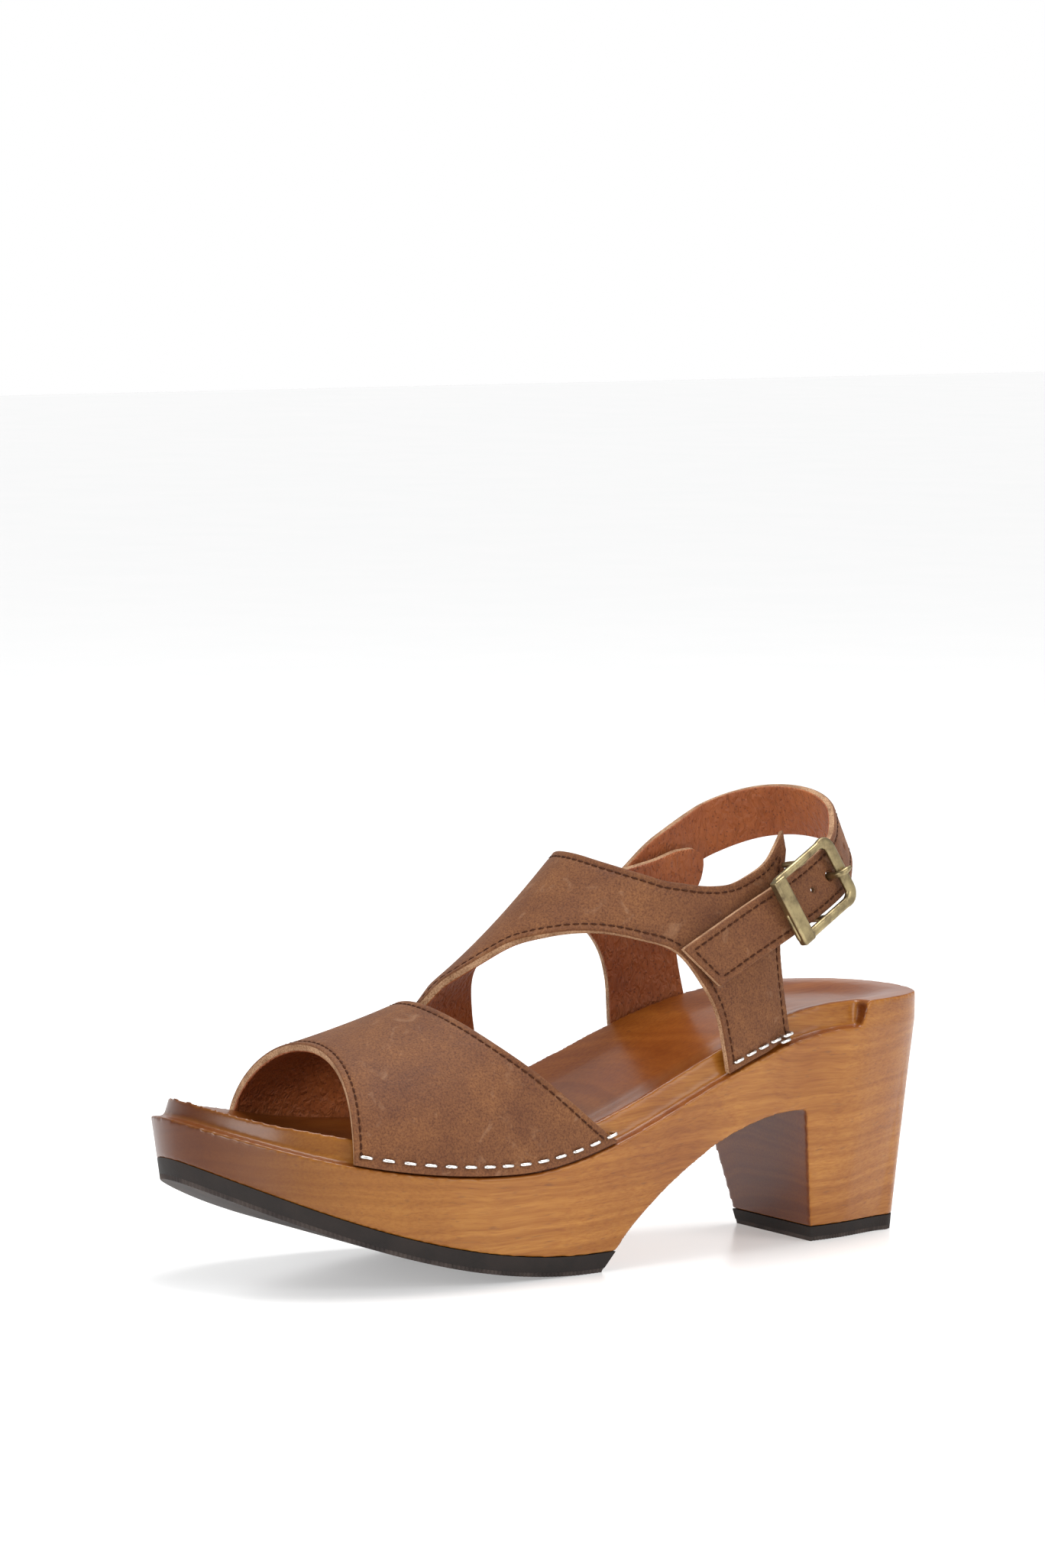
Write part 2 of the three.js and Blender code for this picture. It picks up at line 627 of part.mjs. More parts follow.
// Frame of the strap at a distance from its free end: X along it, Y across it and upwards, Z outwards.
function strapFrame(distance) {
  const share = clamp(distance / strapLength, 0, 1);
  const along = strapPath.getTangentAt(share);
  const tilt = lerp(STRAP_LEAN_SIDE, STRAP_LEAN_BACK, Math.sin(Math.PI * share) ** STRAP_LEAN_GATHER);
  const up = new THREE.Vector3(0, 0, 1).addScaledVector(along, -along.z).normalize();
  const out = along.clone().cross(up);
  const leaning = up.clone().multiplyScalar(Math.cos(tilt)).addScaledVector(out, -Math.sin(tilt));
  const outer = along.clone().cross(leaning);
  return new THREE.Matrix4().makeBasis(along, leaning, outer).setPosition(strapPath.getPointAt(share));
}

const STRAP_STATIONS = 44;
const HALF_STRAP = STRAP_WIDTH / 2;
const STRAP_TOTAL = STRAP_OUTER + GAP + STRAP_LINING;
const strapFace = STRAP_TOTAL / 2;
const strapHoles = Array.from({ length: HOLE_COUNT }, (_, i) =>
  BUCKLE_AT + PRONG_HOLE + (i - 1) * HOLE_PITCH);

function strapSolid(from, to) {
  const strip = sheet(STRAP_STATIONS, 2, (u, v, face) => {
    const across = lerp(-HALF_STRAP, HALF_STRAP, v);
    const skewed = -STRAP_SKEW * v * (1 - smoothstep(u, 0, 0.1));
    const distance = u * strapLength + skewed;
    const share = clamp(distance, 0, strapLength);
    return new THREE.Vector3(distance - share, across, lerp(from, to, face)).applyMatrix4(strapFrame(share));
  });
  const punch = new THREE.CylinderGeometry(HOLE_RADIUS, HOLE_RADIUS, 3 * STRAP_TOTAL, 12);
  punch.rotateX(Math.PI / 2);
  return without(strip, strapHoles.map((distance) => solid(punch, strapFrame(distance))));
}

// ---- Buckle ---------------------------------------------------------------------------------------

// All of it is drawn in the strap's frame at the centre bar: X along the strap, Y across it, Z outwards.
const buckleFrame = strapFrame(BUCKLE_AT);
const barZ = -(strapFace + GAP + TAB_THICKNESS + GAP + PIVOT_RADIUS);
const railInner = HALF_STRAP + SIDE_CLEARANCE;
const railOuter = railInner + RAIL;
const frameLow = strapFace + BUCKLE_PLAY;
const frameHigh = frameLow + FRAME_THICKNESS;
const halfBuckle = BUCKLE_LENGTH / 2;

function block(x0, x1, y0, y1, z0, z1) {
  const box = new THREE.BoxGeometry(x1 - x0, y1 - y0, z1 - z0);
  return solid(box.translate((x0 + x1) / 2, (y0 + y1) / 2, (z0 + z1) / 2));
}

// A shape drawn in the X-Z plane of the buckle, thick across the strap from y0 to y1.
function crossPlate(shape, y0, y1) {
  const plate = new THREE.ExtrudeGeometry(shape, { depth: y1 - y0, bevelEnabled: false, curveSegments: 8 });
  return solid(plate.rotateX(Math.PI / 2).translate(0, y1, 0));
}

function sideRail(y0, y1) {
  const earReach = PIVOT_RADIUS + GAP + 1;
  const shape = new THREE.Shape();
  shape.moveTo(-halfBuckle, frameHigh);
  shape.lineTo(-halfBuckle, frameLow);
  shape.lineTo(-1.6 * earReach, frameLow);
  shape.absarc(0, barZ, earReach, Math.PI, 2 * Math.PI);
  shape.lineTo(1.6 * earReach, frameLow);
  shape.lineTo(halfBuckle, frameLow);
  shape.lineTo(halfBuckle, frameHigh);
  const eye = new THREE.Path();
  eye.absarc(0, barZ, PIVOT_RADIUS + GAP, 0, 2 * Math.PI);
  shape.holes.push(new THREE.Path(eye.getPoints(4)));
  return crossPlate(shape, y0, y1);
}

const frameSolid = sideRail(railInner, railOuter)
  .add(sideRail(-railOuter, -railInner))
  .add(block(halfBuckle - REAR_BAR, halfBuckle, -railOuter, railOuter, frameLow, frameHigh))
  .add(block(-halfBuckle, KEEPER_PLATE - halfBuckle, -railOuter, railOuter, frameLow, frameHigh));

const pivotBar = new THREE.CylinderGeometry(PIVOT_RADIUS, PIVOT_RADIUS, 2 * railOuter - GAP, 16);
pivotBar.translate(0, 0, barZ);

// The prong: an eye round the centre bar, and a pin that runs under the strap, comes up through a hole
// and lies on the rear bar.
const eyeInner = PIVOT_RADIUS + GAP;
const eyeOuter = eyeInner + 0.9;

function prongSolid() {
  const ringShape = new THREE.Shape();
  ringShape.absarc(0, barZ, eyeOuter, 0, 2 * Math.PI);
  const bore = new THREE.Path();
  bore.absarc(0, barZ, eyeInner, 0, 2 * Math.PI);
  ringShape.holes.push(new THREE.Path(bore.getPoints(4)));
  const eye = crossPlate(ringShape, -PRONG_EYE_WIDTH / 2, PRONG_EYE_WIDTH / 2);
  const restZ = frameHigh + GAP + PRONG_WIRE;
  const route = new THREE.CatmullRomCurve3([
    new THREE.Vector3(eyeInner + 0.4, 0, barZ + 0.4),
    new THREE.Vector3(PRONG_HOLE - 2.2, 0, barZ + 0.8),
    new THREE.Vector3(PRONG_HOLE - 0.4, 0, -strapFace - 0.4),
    new THREE.Vector3(PRONG_HOLE + 0.3, 0, strapFace),
    new THREE.Vector3(PRONG_HOLE + 0.9, 0, restZ - 0.6),
    new THREE.Vector3(PRONG_HOLE + 2.2, 0, restZ),
    new THREE.Vector3(halfBuckle + 1.2, 0, restZ),
  ], false, "centripetal");
  const section = new THREE.Shape();
  section.absarc(0, 0, PRONG_WIRE, 0, 2 * Math.PI);
  const pin = new THREE.ExtrudeGeometry(new THREE.Shape(section.getPoints(4)), {
    steps: 18,
    bevelEnabled: false,
    extrudePath: route,
  });
  return eye.add(solid(pin));
}

// The leather tab: it lies under the strap on the quarter, turns round the centre bar and leaves a slot
// for the prong.
function tabSolid() {
  const turnInner = PIVOT_RADIUS + GAP;
  const turnOuter = turnInner + TAB_THICKNESS;
  const steps = 5;
  const leg = Array.from({ length: steps + 1 }, (_, i) => -TAB_LENGTH * (1 - i / steps));
  const shape = new THREE.Shape(leg.map((x) => new THREE.Vector2(x, barZ + turnInner)));
  shape.absarc(0, barZ, turnInner, Math.PI / 2, -Math.PI / 2, true);
  shape.lineTo(-1.5, barZ - turnInner);
  shape.lineTo(-1.5, barZ - turnOuter);
  shape.lineTo(0, barZ - turnOuter);
  shape.absarc(0, barZ, turnOuter, -Math.PI / 2, Math.PI / 2, false);
  for (const x of leg.toReversed().slice(1)) shape.lineTo(x, barZ + turnOuter);
  const strip = crossPlate(shape, -TAB_WIDTH / 2, TAB_WIDTH / 2);
  const slotHalf = PRONG_EYE_WIDTH / 2 + GAP;
  const slotDepth = eyeOuter + GAP;
  const slotted = strip.subtract(
    block(-slotDepth, 2 * turnOuter, -slotHalf, slotHalf, barZ - 2 * turnOuter, barZ + 2 * turnOuter),
  );
  const toBuckle = buckleFrame.clone().invert();
  return reshaped(geometryOf(slotted), (x, y, z) => {
    const behind = Math.min(x, 0);
    const bentPoint = new THREE.Vector3(x - behind, y, z).applyMatrix4(strapFrame(BUCKLE_AT + behind));
    return bentPoint.applyMatrix4(toBuckle);
  });
}

// ---- Materials and assembly -----------------------------------------------------------------------

function finish(color, roughness, metalness = 0) {
  return new THREE.MeshStandardMaterial({ color, roughness, metalness });
}

const wood = finish("#b8783a", 0.45);
const rubber = finish("#3a3330", 0.85);
const nubuck = finish("#8a5836", 0.8);
const pigskin = finish("#a8622f", 0.7);
const brass = finish("#8f7f55", 0.35, 1);
const steel = finish("#e2e3e6", 0.35, 1);

const clog = new THREE.Group();
clog.name = "wooden_clog";

function addPiece(name, geometry, material, parent = clog) {
  const mesh = new THREE.Mesh(geometry, material);
  mesh.name = name;
  parent.add(mesh);
  return mesh;
}

const addSolid = (name, body, material, parent) => addPiece(name, geometryOf(body), material, parent);

addSolid("wooden_sole", without(blank.subtract(underside), pockets), wood);
addSolid("front_outsole", blank.intersect(treadBand), rubber);
addSolid("heel_top_lift", blank.intersect(liftBand), rubber);

const vampPockets = pocketsOf("vamp");
const quarterPockets = pocketsOf("quarter");
const instepOuter = instepSolid(0, OUTER_THICKNESS);
const instepLining = instepSolid(liningTop, liningBottom);
addSolid("vamp_outer", without(vampSolid(0, OUTER_THICKNESS), vampPockets), nubuck);
addSolid("vamp_lining", without(vampSolid(liningTop, liningBottom), vampPockets), pigskin);
addSolid("instep_quarter_outer", without(instepOuter, quarterPockets), nubuck);
addSolid("instep_quarter_lining", without(instepLining, quarterPockets), pigskin);

addSolid("ankle_strap_outer", strapSolid(strapFace - STRAP_OUTER, strapFace), nubuck);
addSolid("ankle_strap_lining", strapSolid(-strapFace, STRAP_LINING - strapFace), pigskin);

const buckle = new THREE.Group();
buckle.applyMatrix4(buckleFrame);
clog.add(buckle);
addSolid("buckle_frame", frameSolid, brass, buckle);
addPiece("buckle_pivot_bar", pivotBar, brass, buckle);
addSolid("buckle_prong", prongSolid(), brass, buckle);
addSolid("buckle_tab", tabSolid(), nubuck, buckle);

const wire = stapleGeometry(STAPLE_CROWN, STAPLE_WIRE, STAPLE_LEG, GAP);
for (const staple of staples) {
  addPiece(staple.name, wire, steel).applyMatrix4(staple.frame);
}

// The part's origin is on the ground, under the middle of its bounding box.
clog.updateMatrixWorld(true);
const extent = new THREE.Box3().setFromObject(clog);
const middle = extent.getCenter(new THREE.Vector3());
clog.position.set(-middle.x, -middle.y, -extent.min.z);

export default clog;
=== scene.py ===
# The looks of a wooden clog sandal for the left foot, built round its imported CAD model.
# Lengths are in millimetres until a mesh is stored, which is in metres. The toe points along -Y, the
# heel along +Y and the outer side of the foot is +X.

import math

import bpy
import numpy as np
from mathutils import Matrix, Vector
from mathutils.geometry import delaunay_2d_cdt


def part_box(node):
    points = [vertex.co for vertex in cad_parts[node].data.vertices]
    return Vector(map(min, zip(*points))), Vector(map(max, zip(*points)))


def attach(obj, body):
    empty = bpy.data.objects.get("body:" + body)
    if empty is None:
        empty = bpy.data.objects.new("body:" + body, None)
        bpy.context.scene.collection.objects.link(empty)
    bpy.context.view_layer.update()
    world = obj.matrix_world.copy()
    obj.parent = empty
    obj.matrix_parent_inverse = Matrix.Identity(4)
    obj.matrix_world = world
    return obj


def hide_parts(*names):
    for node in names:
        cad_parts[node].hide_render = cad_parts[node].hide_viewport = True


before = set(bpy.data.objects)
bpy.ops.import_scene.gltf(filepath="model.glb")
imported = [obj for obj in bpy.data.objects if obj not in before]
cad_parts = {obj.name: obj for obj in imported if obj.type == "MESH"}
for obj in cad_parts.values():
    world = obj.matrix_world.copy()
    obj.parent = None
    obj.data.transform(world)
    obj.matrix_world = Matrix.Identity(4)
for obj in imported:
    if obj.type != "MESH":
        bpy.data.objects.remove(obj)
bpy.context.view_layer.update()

MM = 0.001

# Sole.
BALL_WIDTH = 92
FOREFOOT_LEVEL = 32.4
TOE_SPRING = 16.4
TOE_SPRING_RUN = 85
BALL_AT = -40
HEEL_RISE = 33.6
SEAT_AT = 84
RIM_HEIGHT = 7.5
TOE_RIM_HEIGHT = 5.3
TOE_RIM_RUN = 36
TOE_END = -123
RIM_DRAFT = 1.6
DISH_DEPTH = 2.6
DISH_MARGIN = 16
SIDE_TAPER = 0.2
TOE_TAPER = 0.12
BACK_TAPER = 0.09
OUTSOLE_THICKNESS = 6
HEEL_LIFT_THICKNESS = 4.6
ROCKER_RISE = 30.5
ROCKER_START = -10
ROCKER_POWER = 1.9
ROCKER_RUN = 113
TREAD_END = -6
TEETH_COLUMNS = 1600
TEETH_COUNT = 400
SIDE_OVERSHOOT = 2  # the block starts below the ground and is cut level by the underside
REBATE_EDGE = 0.5
REBATE_HIDE = 1.7  # the hide that the rebate is cut for
LIFT_TOP = 4.5
OUTSOLE_FIT = 0.1
BREAST_FOOT = 77.5
BREAST_TOP = 69.5
ARCH_LEVEL = 42
TREAD_STRIP = 1.3  # height of the toothed strip along the bottom of the rubber
TOOTH = 0.35
WOOD_VOXEL = 0.7  # how finely the sanded wood is carved

SOLE_OUTLINE = [
    (-12, -125.5), (14, -112), (30, -92), (40, -60), (41.2, -25), (38, 20), (34, 60), (30, 94),
    (19, 116), (-2, 121), (-21, 112.5), (-31.5, 88), (-37, 50), (-39.5, 10), (-46, -30), (-51, -68),
    (-48, -98), (-34, -119.8),
]
ARCH_CURVE = [(-1.3, 6), (5.6, 14), (20, 25.8), (37, 35.7), (55, 41), (BREAST_TOP, ARCH_LEVEL)]

# Leather.
LEATHER_INSET = 0.3
OUTER_LAYER = 1.98
LINING_LAYER = 0.8
LAYER_GAP = 0.02
RIM_FIT = 0.9
HEM = 1  # lift of the leather's lower edge, in degrees round the form
TUCK_DEPTH = 3.7
TUCK_RUN = 13
TIP_PRESS = 2.6
EDGE_ROUNDING = 0.5
SEAM_INSET = 2.1
SEAM_GROOVE = 0.34
STITCH_PITCH = 2.6
STITCH_LENGTH = 2.1
THREAD_RADIUS = 0.31
LEATHER_MESH = 2.3
OUTLINE_STEP = 1.1
SHEET_RINGS = (0.18, 0.5, 1.0, SEAM_INSET - 0.5, SEAM_INSET, SEAM_INSET + 0.5, 3.4)
GRID_GAP = 3.9
DENT_REACH = 0.9

# Form that the leather is drawn over.
VAMP_RISE = 29
VAMP_SLOPE = 0.4
INSTEP_SLOPE = 0.3
INSTEP_START = -38
INSTEP_SOFTNESS = 5
RIDGE_AT_TOE = -7.3
RIDGE_AT_ANKLE = -1.9
ROUNDNESS_AT_TOE = 1.9
ROUNDNESS_AT_ANKLE = 1.67

# Edges of the instep piece as (y, degrees round the form): 0 outer ledge, 90 ridge, 180 inner ledge.
TOP_EDGE = [
    (63.6, 35.4), (61, 34.1), (57.5, 33.1), (52.5, 33.2), (43, 34.8), (34.5, 38.6), (26.6, 44),
    (19.3, 50.6), (11, 62),
    (5.5, 75), (3.5, 90), (5.5, 105), (11, 118), (19.3, 129.4), (28, 137), (39, 144), (51, 148),
    (60, 149.5),
]
TAB_END = [(66.5, 151), (70.5, 153.5), (70, 157), (66, 159.5)]
INNER_REAR_EDGE = [(62, 162), (63, 167), (66, 175), (67.5, 180 - HEM)]
INNER_FRONT_EDGE = [
    (41, 180 - HEM), (40.3, 173), (38.8, 164.6), (34.5, 156.8), (25, 147), (12, 136.8), (3, 127),
    (-5, 121.5), (-11.5, 122), (-14, 128), (-13.4, 135), (-10, 147), (-7, 157), (-5.5, 167),
]
NECK_FRONT_EDGE = [(-21.6, 167), (-27.5, 160), (-37, 145), (-46, 130), (-52, 118)]
OUTER_FRONT_EDGE = [
    (-46, 112), (-41, 105), (-35.9, 99.5), (-28.3, 90), (-21.1, 82), (-13.3, 70), (-2.5, 56.5),
    (9.5, 43.7), (21.4, 33), (28.9, 23.2), (33.6, 15.4), (35.8, 7.2), (37, HEM),
]
OUTER_REAR_EDGE = [(62.8, HEM), (61.6, 5.4), (60.2, 11.4), (59.4, 17), (60, 22), (62, 27.5), (64.2, 32)]
VAMP_FRONT = -82.4
VAMP_FRONT_OUTER = -89.4
VAMP_FRONT_INNER = -85.7
VAMP_REAR = -47
VAMP_REAR_LEDGE = -3.6
VAMP_REAR_SWEEP = 1.12

# Staples.
STAPLE_CROWN = 4
STAPLE_WIRE = 0.9
STAPLE_HEIGHT = 3.3
VAMP_STAPLE_PITCH = 6
QUARTER_STAPLE_PITCH = 4.9
STAPLE_MARGIN = 3.4
STAPLE_DENT = 0.5
STAPLE_DROP = 1.5  # from the first to the second of a doubled staple

# Ankle strap: its middle as [y, height above the seat, lift] on the leather, and [x, y, height] behind.
SEAT_LEVEL = FOREFOOT_LEVEL + HEEL_RISE
STRAP_FRONT = [(29.5, 23, 2.4), (43, 30, 3), (57, 37.2, 4.6)]
STRAP_LOOP = [
    (32.8, 70, 44), (29.5, 79, 49), (24, 84.5, 52.8), (13, 91, 58), (0, 93.5, 60.8), (-13, 91, 61.6),
    (-24.5, 84.8, 59.8), (-33, 74.5, 54.8),
]
STRAP_END = [(60, 46.5, 2.4), (51, 38.6, 2.2), (44, 32.6, 2)]
STRAP_LEAN_SIDE = math.radians(7)
STRAP_LEAN_BACK = math.radians(22)
STRAP_LEAN_GATHER = 4
HALF_STRAP = 8
STRAP_FACE = 1.3  # half the strap's thickness
STRAP_LINING = 0.9
STRAP_SKEW = 5.5
STRAP_HOLE = 0.9
PRONG_SLOT = 1.35
HOLE_PITCH = 8
HOLE_COUNT = 5

# Buckle, in the strap's own frame: X along it, Y across it, Z outwards.
BUCKLE_AT = 41.5
FRAME_FRONT = -14.2
FRAME_REAR = 14.2
LOWER_RAIL = -9.3  # middle of the rail
UPPER_RAIL = 10.6
FRAME_TURN = math.radians(2.5)
FRAME_LOW = 2.3
FRAME_HIGH = 4.3
KEEPER_PLATE = 5
PRONG_HOLE = 9.3
PRONG_RADIUS = 0.95
PRONG_REST = 1.05  # from the frame to the middle of the prong
EYE_RADIUS = 1.7
SQUARENESS = 0.75  # of a bar's section: 1 is round
BAR_RADIUS = 1
TAB_THICKNESS = 1.2


# ---- Numbers and curves ---------------------------------------------------------------------------

def mix(a, b, share):
    return a + (b - a) * share


def smoothstep(value, low, high):
    t = min(max((value - low) / (high - low), 0), 1)
    return t * t * (3 - 2 * t)


def centripetal(points, closed, steps=24):
    """A centripetal Catmull-Rom curve through the points, as many short straight steps."""
    knots = [np.array(p, float) for p in points]
    if closed:
        knots = [knots[-1], *knots, knots[0], knots[1]]
    else:
        knots = [2 * knots[0] - knots[1], *knots, 2 * knots[-1] - knots[-2]]
    curve = []
    for before, start, end, after in zip(knots, knots[1:], knots[2:], knots[3:]):
        gaps = [math.sqrt(np.linalg.norm(b - a)) for a, b in ((before, start), (start, end), (end, after))]
        leave = (start - before) / gaps[0] - (end - before) / (gaps[0] + gaps[1]) + (end - start) / gaps[1]
        arrive = (end - start) / gaps[1] - (after - start) / (gaps[1] + gaps[2]) + (after - end) / gaps[2]
        leave, arrive = leave * gaps[1], arrive * gaps[1]
        for step in range(steps):
            t = step / steps
            curve.append(
                start + leave * t
                + (3 * (end - start) - 2 * leave - arrive) * t * t
                + (2 * (start - end) + leave + arrive) * t ** 3
            )
    if not closed:
        curve.append(knots[-2])
    return np.array(curve)


def spline(points, steps=10):
    """A uniform Catmull-Rom curve through flat points that ends at the last one."""
    knots = [np.array(p, float) for p in (points[0], *points, points[-1])]
    curve = []
    for before, start, end, after in zip(knots, knots[1:], knots[2:], knots[3:]):
        leave, arrive = (end - before) / 2, (after - start) / 2
        for step in range(steps):
            t = step / steps
            curve.append(
                (2 * start - 2 * end + leave + arrive) * t ** 3
                + (3 * end - 3 * start - 2 * leave - arrive) * t * t
                + leave * t + start
            )
    curve.append(knots[-1])
    return curve


def evenly(points, spacing, closed=False):
    """The same line with its points evenly spaced along it."""
    line = np.array([*points, points[0]] if closed else points, float)
    lengths = np.concatenate([[0], np.cumsum(np.linalg.norm(np.diff(line, axis=0), axis=1))])
    count = max(2, round(lengths[-1] / spacing))
    at = np.linspace(0, lengths[-1], count + 1)
    spaced = np.stack([np.interp(at, lengths, line[:, k]) for k in range(line.shape[1])], axis=1)
    return spaced[:-1] if closed else spaced


# ---- Sole lines -----------------------------------------------------------------------------------

def sole_ring(count):
    """The sole's outline from the toe, and its outward normals."""
    dense = centripetal(SOLE_OUTLINE, closed=True)
    length = np.linalg.norm(np.diff(np.vstack([dense, dense[:1]]), axis=0), axis=1).sum()
    ring = evenly(dense, length / count, closed=True)
    ring = np.roll(ring, -int(ring[:, 1].argmin()), axis=0)
    run = np.roll(ring, -1, axis=0) - np.roll(ring, 1, axis=0)
    normals = np.stack([run[:, 1], -run[:, 0]], axis=1)
    return ring, normals / np.linalg.norm(normals, axis=1)[:, None]


RING, RING_NORMALS = sole_ring(480)
HEEL_INDEX = int(RING[:, 1].argmax())
OUTER_CHAIN = RING[: HEEL_INDEX + 1]
INNER_CHAIN = np.vstack([RING[HEEL_INDEX:], RING[:1]])[::-1]

# The CAD's place: its sole has the same outline.
sole_low, sole_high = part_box("wooden_sole")
PLACE = Vector((
    (sole_low.x + sole_high.x) / 2 - (RING[:, 0].min() + RING[:, 0].max()) / 2 * MM,
    (sole_low.y + sole_high.y) / 2 - (RING[:, 1].min() + RING[:, 1].max()) / 2 * MM,
    0,
))


def edge_x(side, y):
    chain = OUTER_CHAIN if side > 0 else INNER_CHAIN
    return float(np.interp(y, chain[:, 1], chain[:, 0]))


def ledge(y):
    toe = max(0, (BALL_AT - y) / TOE_SPRING_RUN)
    return FOREFOOT_LEVEL + TOE_SPRING * toe * toe + HEEL_RISE * smoothstep(y, BALL_AT, SEAT_AT)


def rim_height(y):
    return mix(TOE_RIM_HEIGHT, RIM_HEIGHT, smoothstep(y, TOE_END, TOE_END + TOE_RIM_RUN))


def ledge_top(y):
    return ledge(y) + RIM_HEIGHT * smoothstep(y, 88, 91)


def lean(normal):
    end = TOE_TAPER if normal[1] < 0 else BACK_TAPER
    return SIDE_TAPER * normal[0] ** 2 + end * normal[1] ** 2


def rocker(y):
    return ROCKER_RISE * max(0, (ROCKER_START - y) / ROCKER_RUN) ** ROCKER_POWER


def rocker_line(lift, end):
    rolling = [(y, rocker(y) + lift) for y in np.linspace(-133, ROCKER_START, 60)]
    return [*rolling, (end, lift)]


# ---- Form lines -----------------------------------------------------------------------------------

def to_ankle(y):
    return smoothstep(y, -75, -5)


def ridge_rise(y):
    past = y - INSTEP_START
    soft = (past + math.hypot(past, INSTEP_SOFTNESS)) / 2
    return VAMP_RISE + VAMP_SLOPE * (y + 90) + INSTEP_SLOPE * soft


def form_point(y, angle):
    blend = to_ankle(y)
    ridge_x = mix(RIDGE_AT_TOE, RIDGE_AT_ANKLE, blend)
    side = 1 if angle < math.pi / 2 else -1
    reach = edge_x(side, y) - side * LEATHER_INSET - ridge_x
    roundness = mix(ROUNDNESS_AT_TOE, ROUNDNESS_AT_ANKLE, blend)
    rise = max(0, math.sin(angle)) ** (2 / roundness)
    return Vector((ridge_x + reach * abs(math.cos(angle)), y, ledge(y) + ridge_rise(y) * rise))


def form_normal(y, angle, step=0.05):
    low, high = max(angle - step, 0), min(angle + step, math.pi)
    around = form_point(y, high) - form_point(y, low)
    along = form_point(y + 1, angle) - form_point(y - 1, angle)
    return along.cross(around).normalized()


def on_form(y, degrees, depth):
    angle = math.radians(degrees)
    return form_point(y, angle) - form_normal(y, angle) * depth


def angle_at(side, y, z):
    roundness = mix(ROUNDNESS_AT_TOE, ROUNDNESS_AT_ANKLE, to_ankle(y))
    share = min(max((z - ledge(y)) / ridge_rise(y), 0), 1)
    angle = math.asin(share ** (roundness / 2))
    return angle if side > 0 else math.pi - angle


def vamp_rear(degrees):
    to_ledge = max(0, 1 - math.sin(math.radians(degrees))) ** VAMP_REAR_SWEEP
    return mix(VAMP_REAR, VAMP_REAR_LEDGE, to_ledge)


def vamp_front(degrees):
    end = VAMP_FRONT_OUTER if degrees < 90 else VAMP_FRONT_INNER
    return mix(VAMP_FRONT, end, math.cos(math.radians(degrees)) ** 2)


def tucked(y, degrees):
    return TUCK_DEPTH * (1 - smoothstep(y - vamp_rear(degrees), 1, TUCK_RUN))


def under_buckle(y, degrees):
    """How far the buckle presses in the outer tip of the instep piece."""
    return TIP_PRESS * smoothstep(y, 50, 62) * (1 - smoothstep(degrees, 45, 70))


def instep_place(y, degrees, depth):
    return on_form(y, degrees, depth + tucked(y, degrees) + under_buckle(y, degrees))


# ---- Strap lines ----------------------------------------------------------------------------------

def over_leather(side, y, height, lift):
    degrees = math.degrees(angle_at(side, y, SEAT_LEVEL + height))
    return on_form(y, degrees, -lift)


STRAP_PATH = evenly(centripetal([
    *(over_leather(1, *p) for p in STRAP_FRONT),
    *((x, y, SEAT_LEVEL + height) for x, y, height in STRAP_LOOP),
    *(over_leather(-1, *p) for p in STRAP_END),
], closed=False), 0.5)
STRAP_STEPS = np.concatenate([[0], np.cumsum(np.linalg.norm(np.diff(STRAP_PATH, axis=0), axis=1))])
STRAP_LENGTH = float(STRAP_STEPS[-1])


def strap_point(distance):
    return Vector([float(np.interp(distance, STRAP_STEPS, STRAP_PATH[:, k])) for k in range(3)])


def strap_frame(distance):
    """X along the strap, Y across it and upwards, Z outwards."""
    at = min(max(distance, 0), STRAP_LENGTH)
    reach = 1.5
    along = (strap_point(at + reach) - strap_point(at - reach)).normalized()
    gather = math.sin(math.pi * at / STRAP_LENGTH) ** STRAP_LEAN_GATHER
    tilt = mix(STRAP_LEAN_SIDE, STRAP_LEAN_BACK, gather)
    up = (Vector((0, 0, 1)) - along * along.z).normalized()
    out = along.cross(up)
    leaning = up * math.cos(tilt) - out * math.sin(tilt)
    turned = Matrix((along, leaning, along.cross(leaning))).transposed().to_4x4()
    return Matrix.Translation(strap_point(at)) @ turned


def strap_place(distance, across, depth):
    at = min(max(distance, 0), STRAP_LENGTH)
    return strap_frame(at) @ Vector((distance - at, across, STRAP_FACE - depth))


BUCKLE = strap_frame(BUCKLE_AT)


# ---- Meshes ---------------------------------------------------------------------------------------

def to_frame(point):
    return Vector(point) * MM + PLACE


def add_piece(name, vertices, faces, materials, indices=None, sharp=40):
    """A smooth mesh in metres from points in millimetres."""
    mesh = bpy.data.meshes.new(name)
    mesh.from_pydata([to_frame(v) for v in vertices], [], faces)
    for material in materials:
        mesh.materials.append(material)
    if indices is not None:
        mesh.polygons.foreach_set("material_index", indices)
    mesh.polygons.foreach_set("use_smooth", [True] * len(mesh.polygons))
    mesh.set_sharp_from_angle(angle=math.radians(sharp))
    mesh.update()
    piece = bpy.data.objects.new(name, mesh)
    bpy.context.scene.collection.objects.link(piece)
    return piece


def settle(piece):
    """Applies the piece's modifiers."""
    graph = bpy.context.evaluated_depsgraph_get()
    piece.data = bpy.data.meshes.new_from_object(piece.evaluated_get(graph))
    piece.modifiers.clear()
    return piece


def cut(piece, other, operation):
    """Cuts or crops a piece with another, which is used up."""
    modifier = piece.modifiers.new("cut", "BOOLEAN")
    modifier.operation = operation
    modifier.solver = "EXACT"
    modifier.object = other
    settle(piece)
    bpy.data.objects.remove(other)
    return piece


def side_slab(points):
    """A side-view outline of (y, z) points, extruded across the whole shoe."""
    count = len(points)
    vertices = [(x, y, z) for x in (-BALL_WIDTH, BALL_WIDTH) for y, z in points]
    walls = [(i, (i + 1) % count, (i + 1) % count + count, i + count) for i in range(count)]
    caps = [tuple(range(count))[::-1], tuple(range(count, 2 * count))]
    return add_piece("slab", vertices, walls + caps, [])


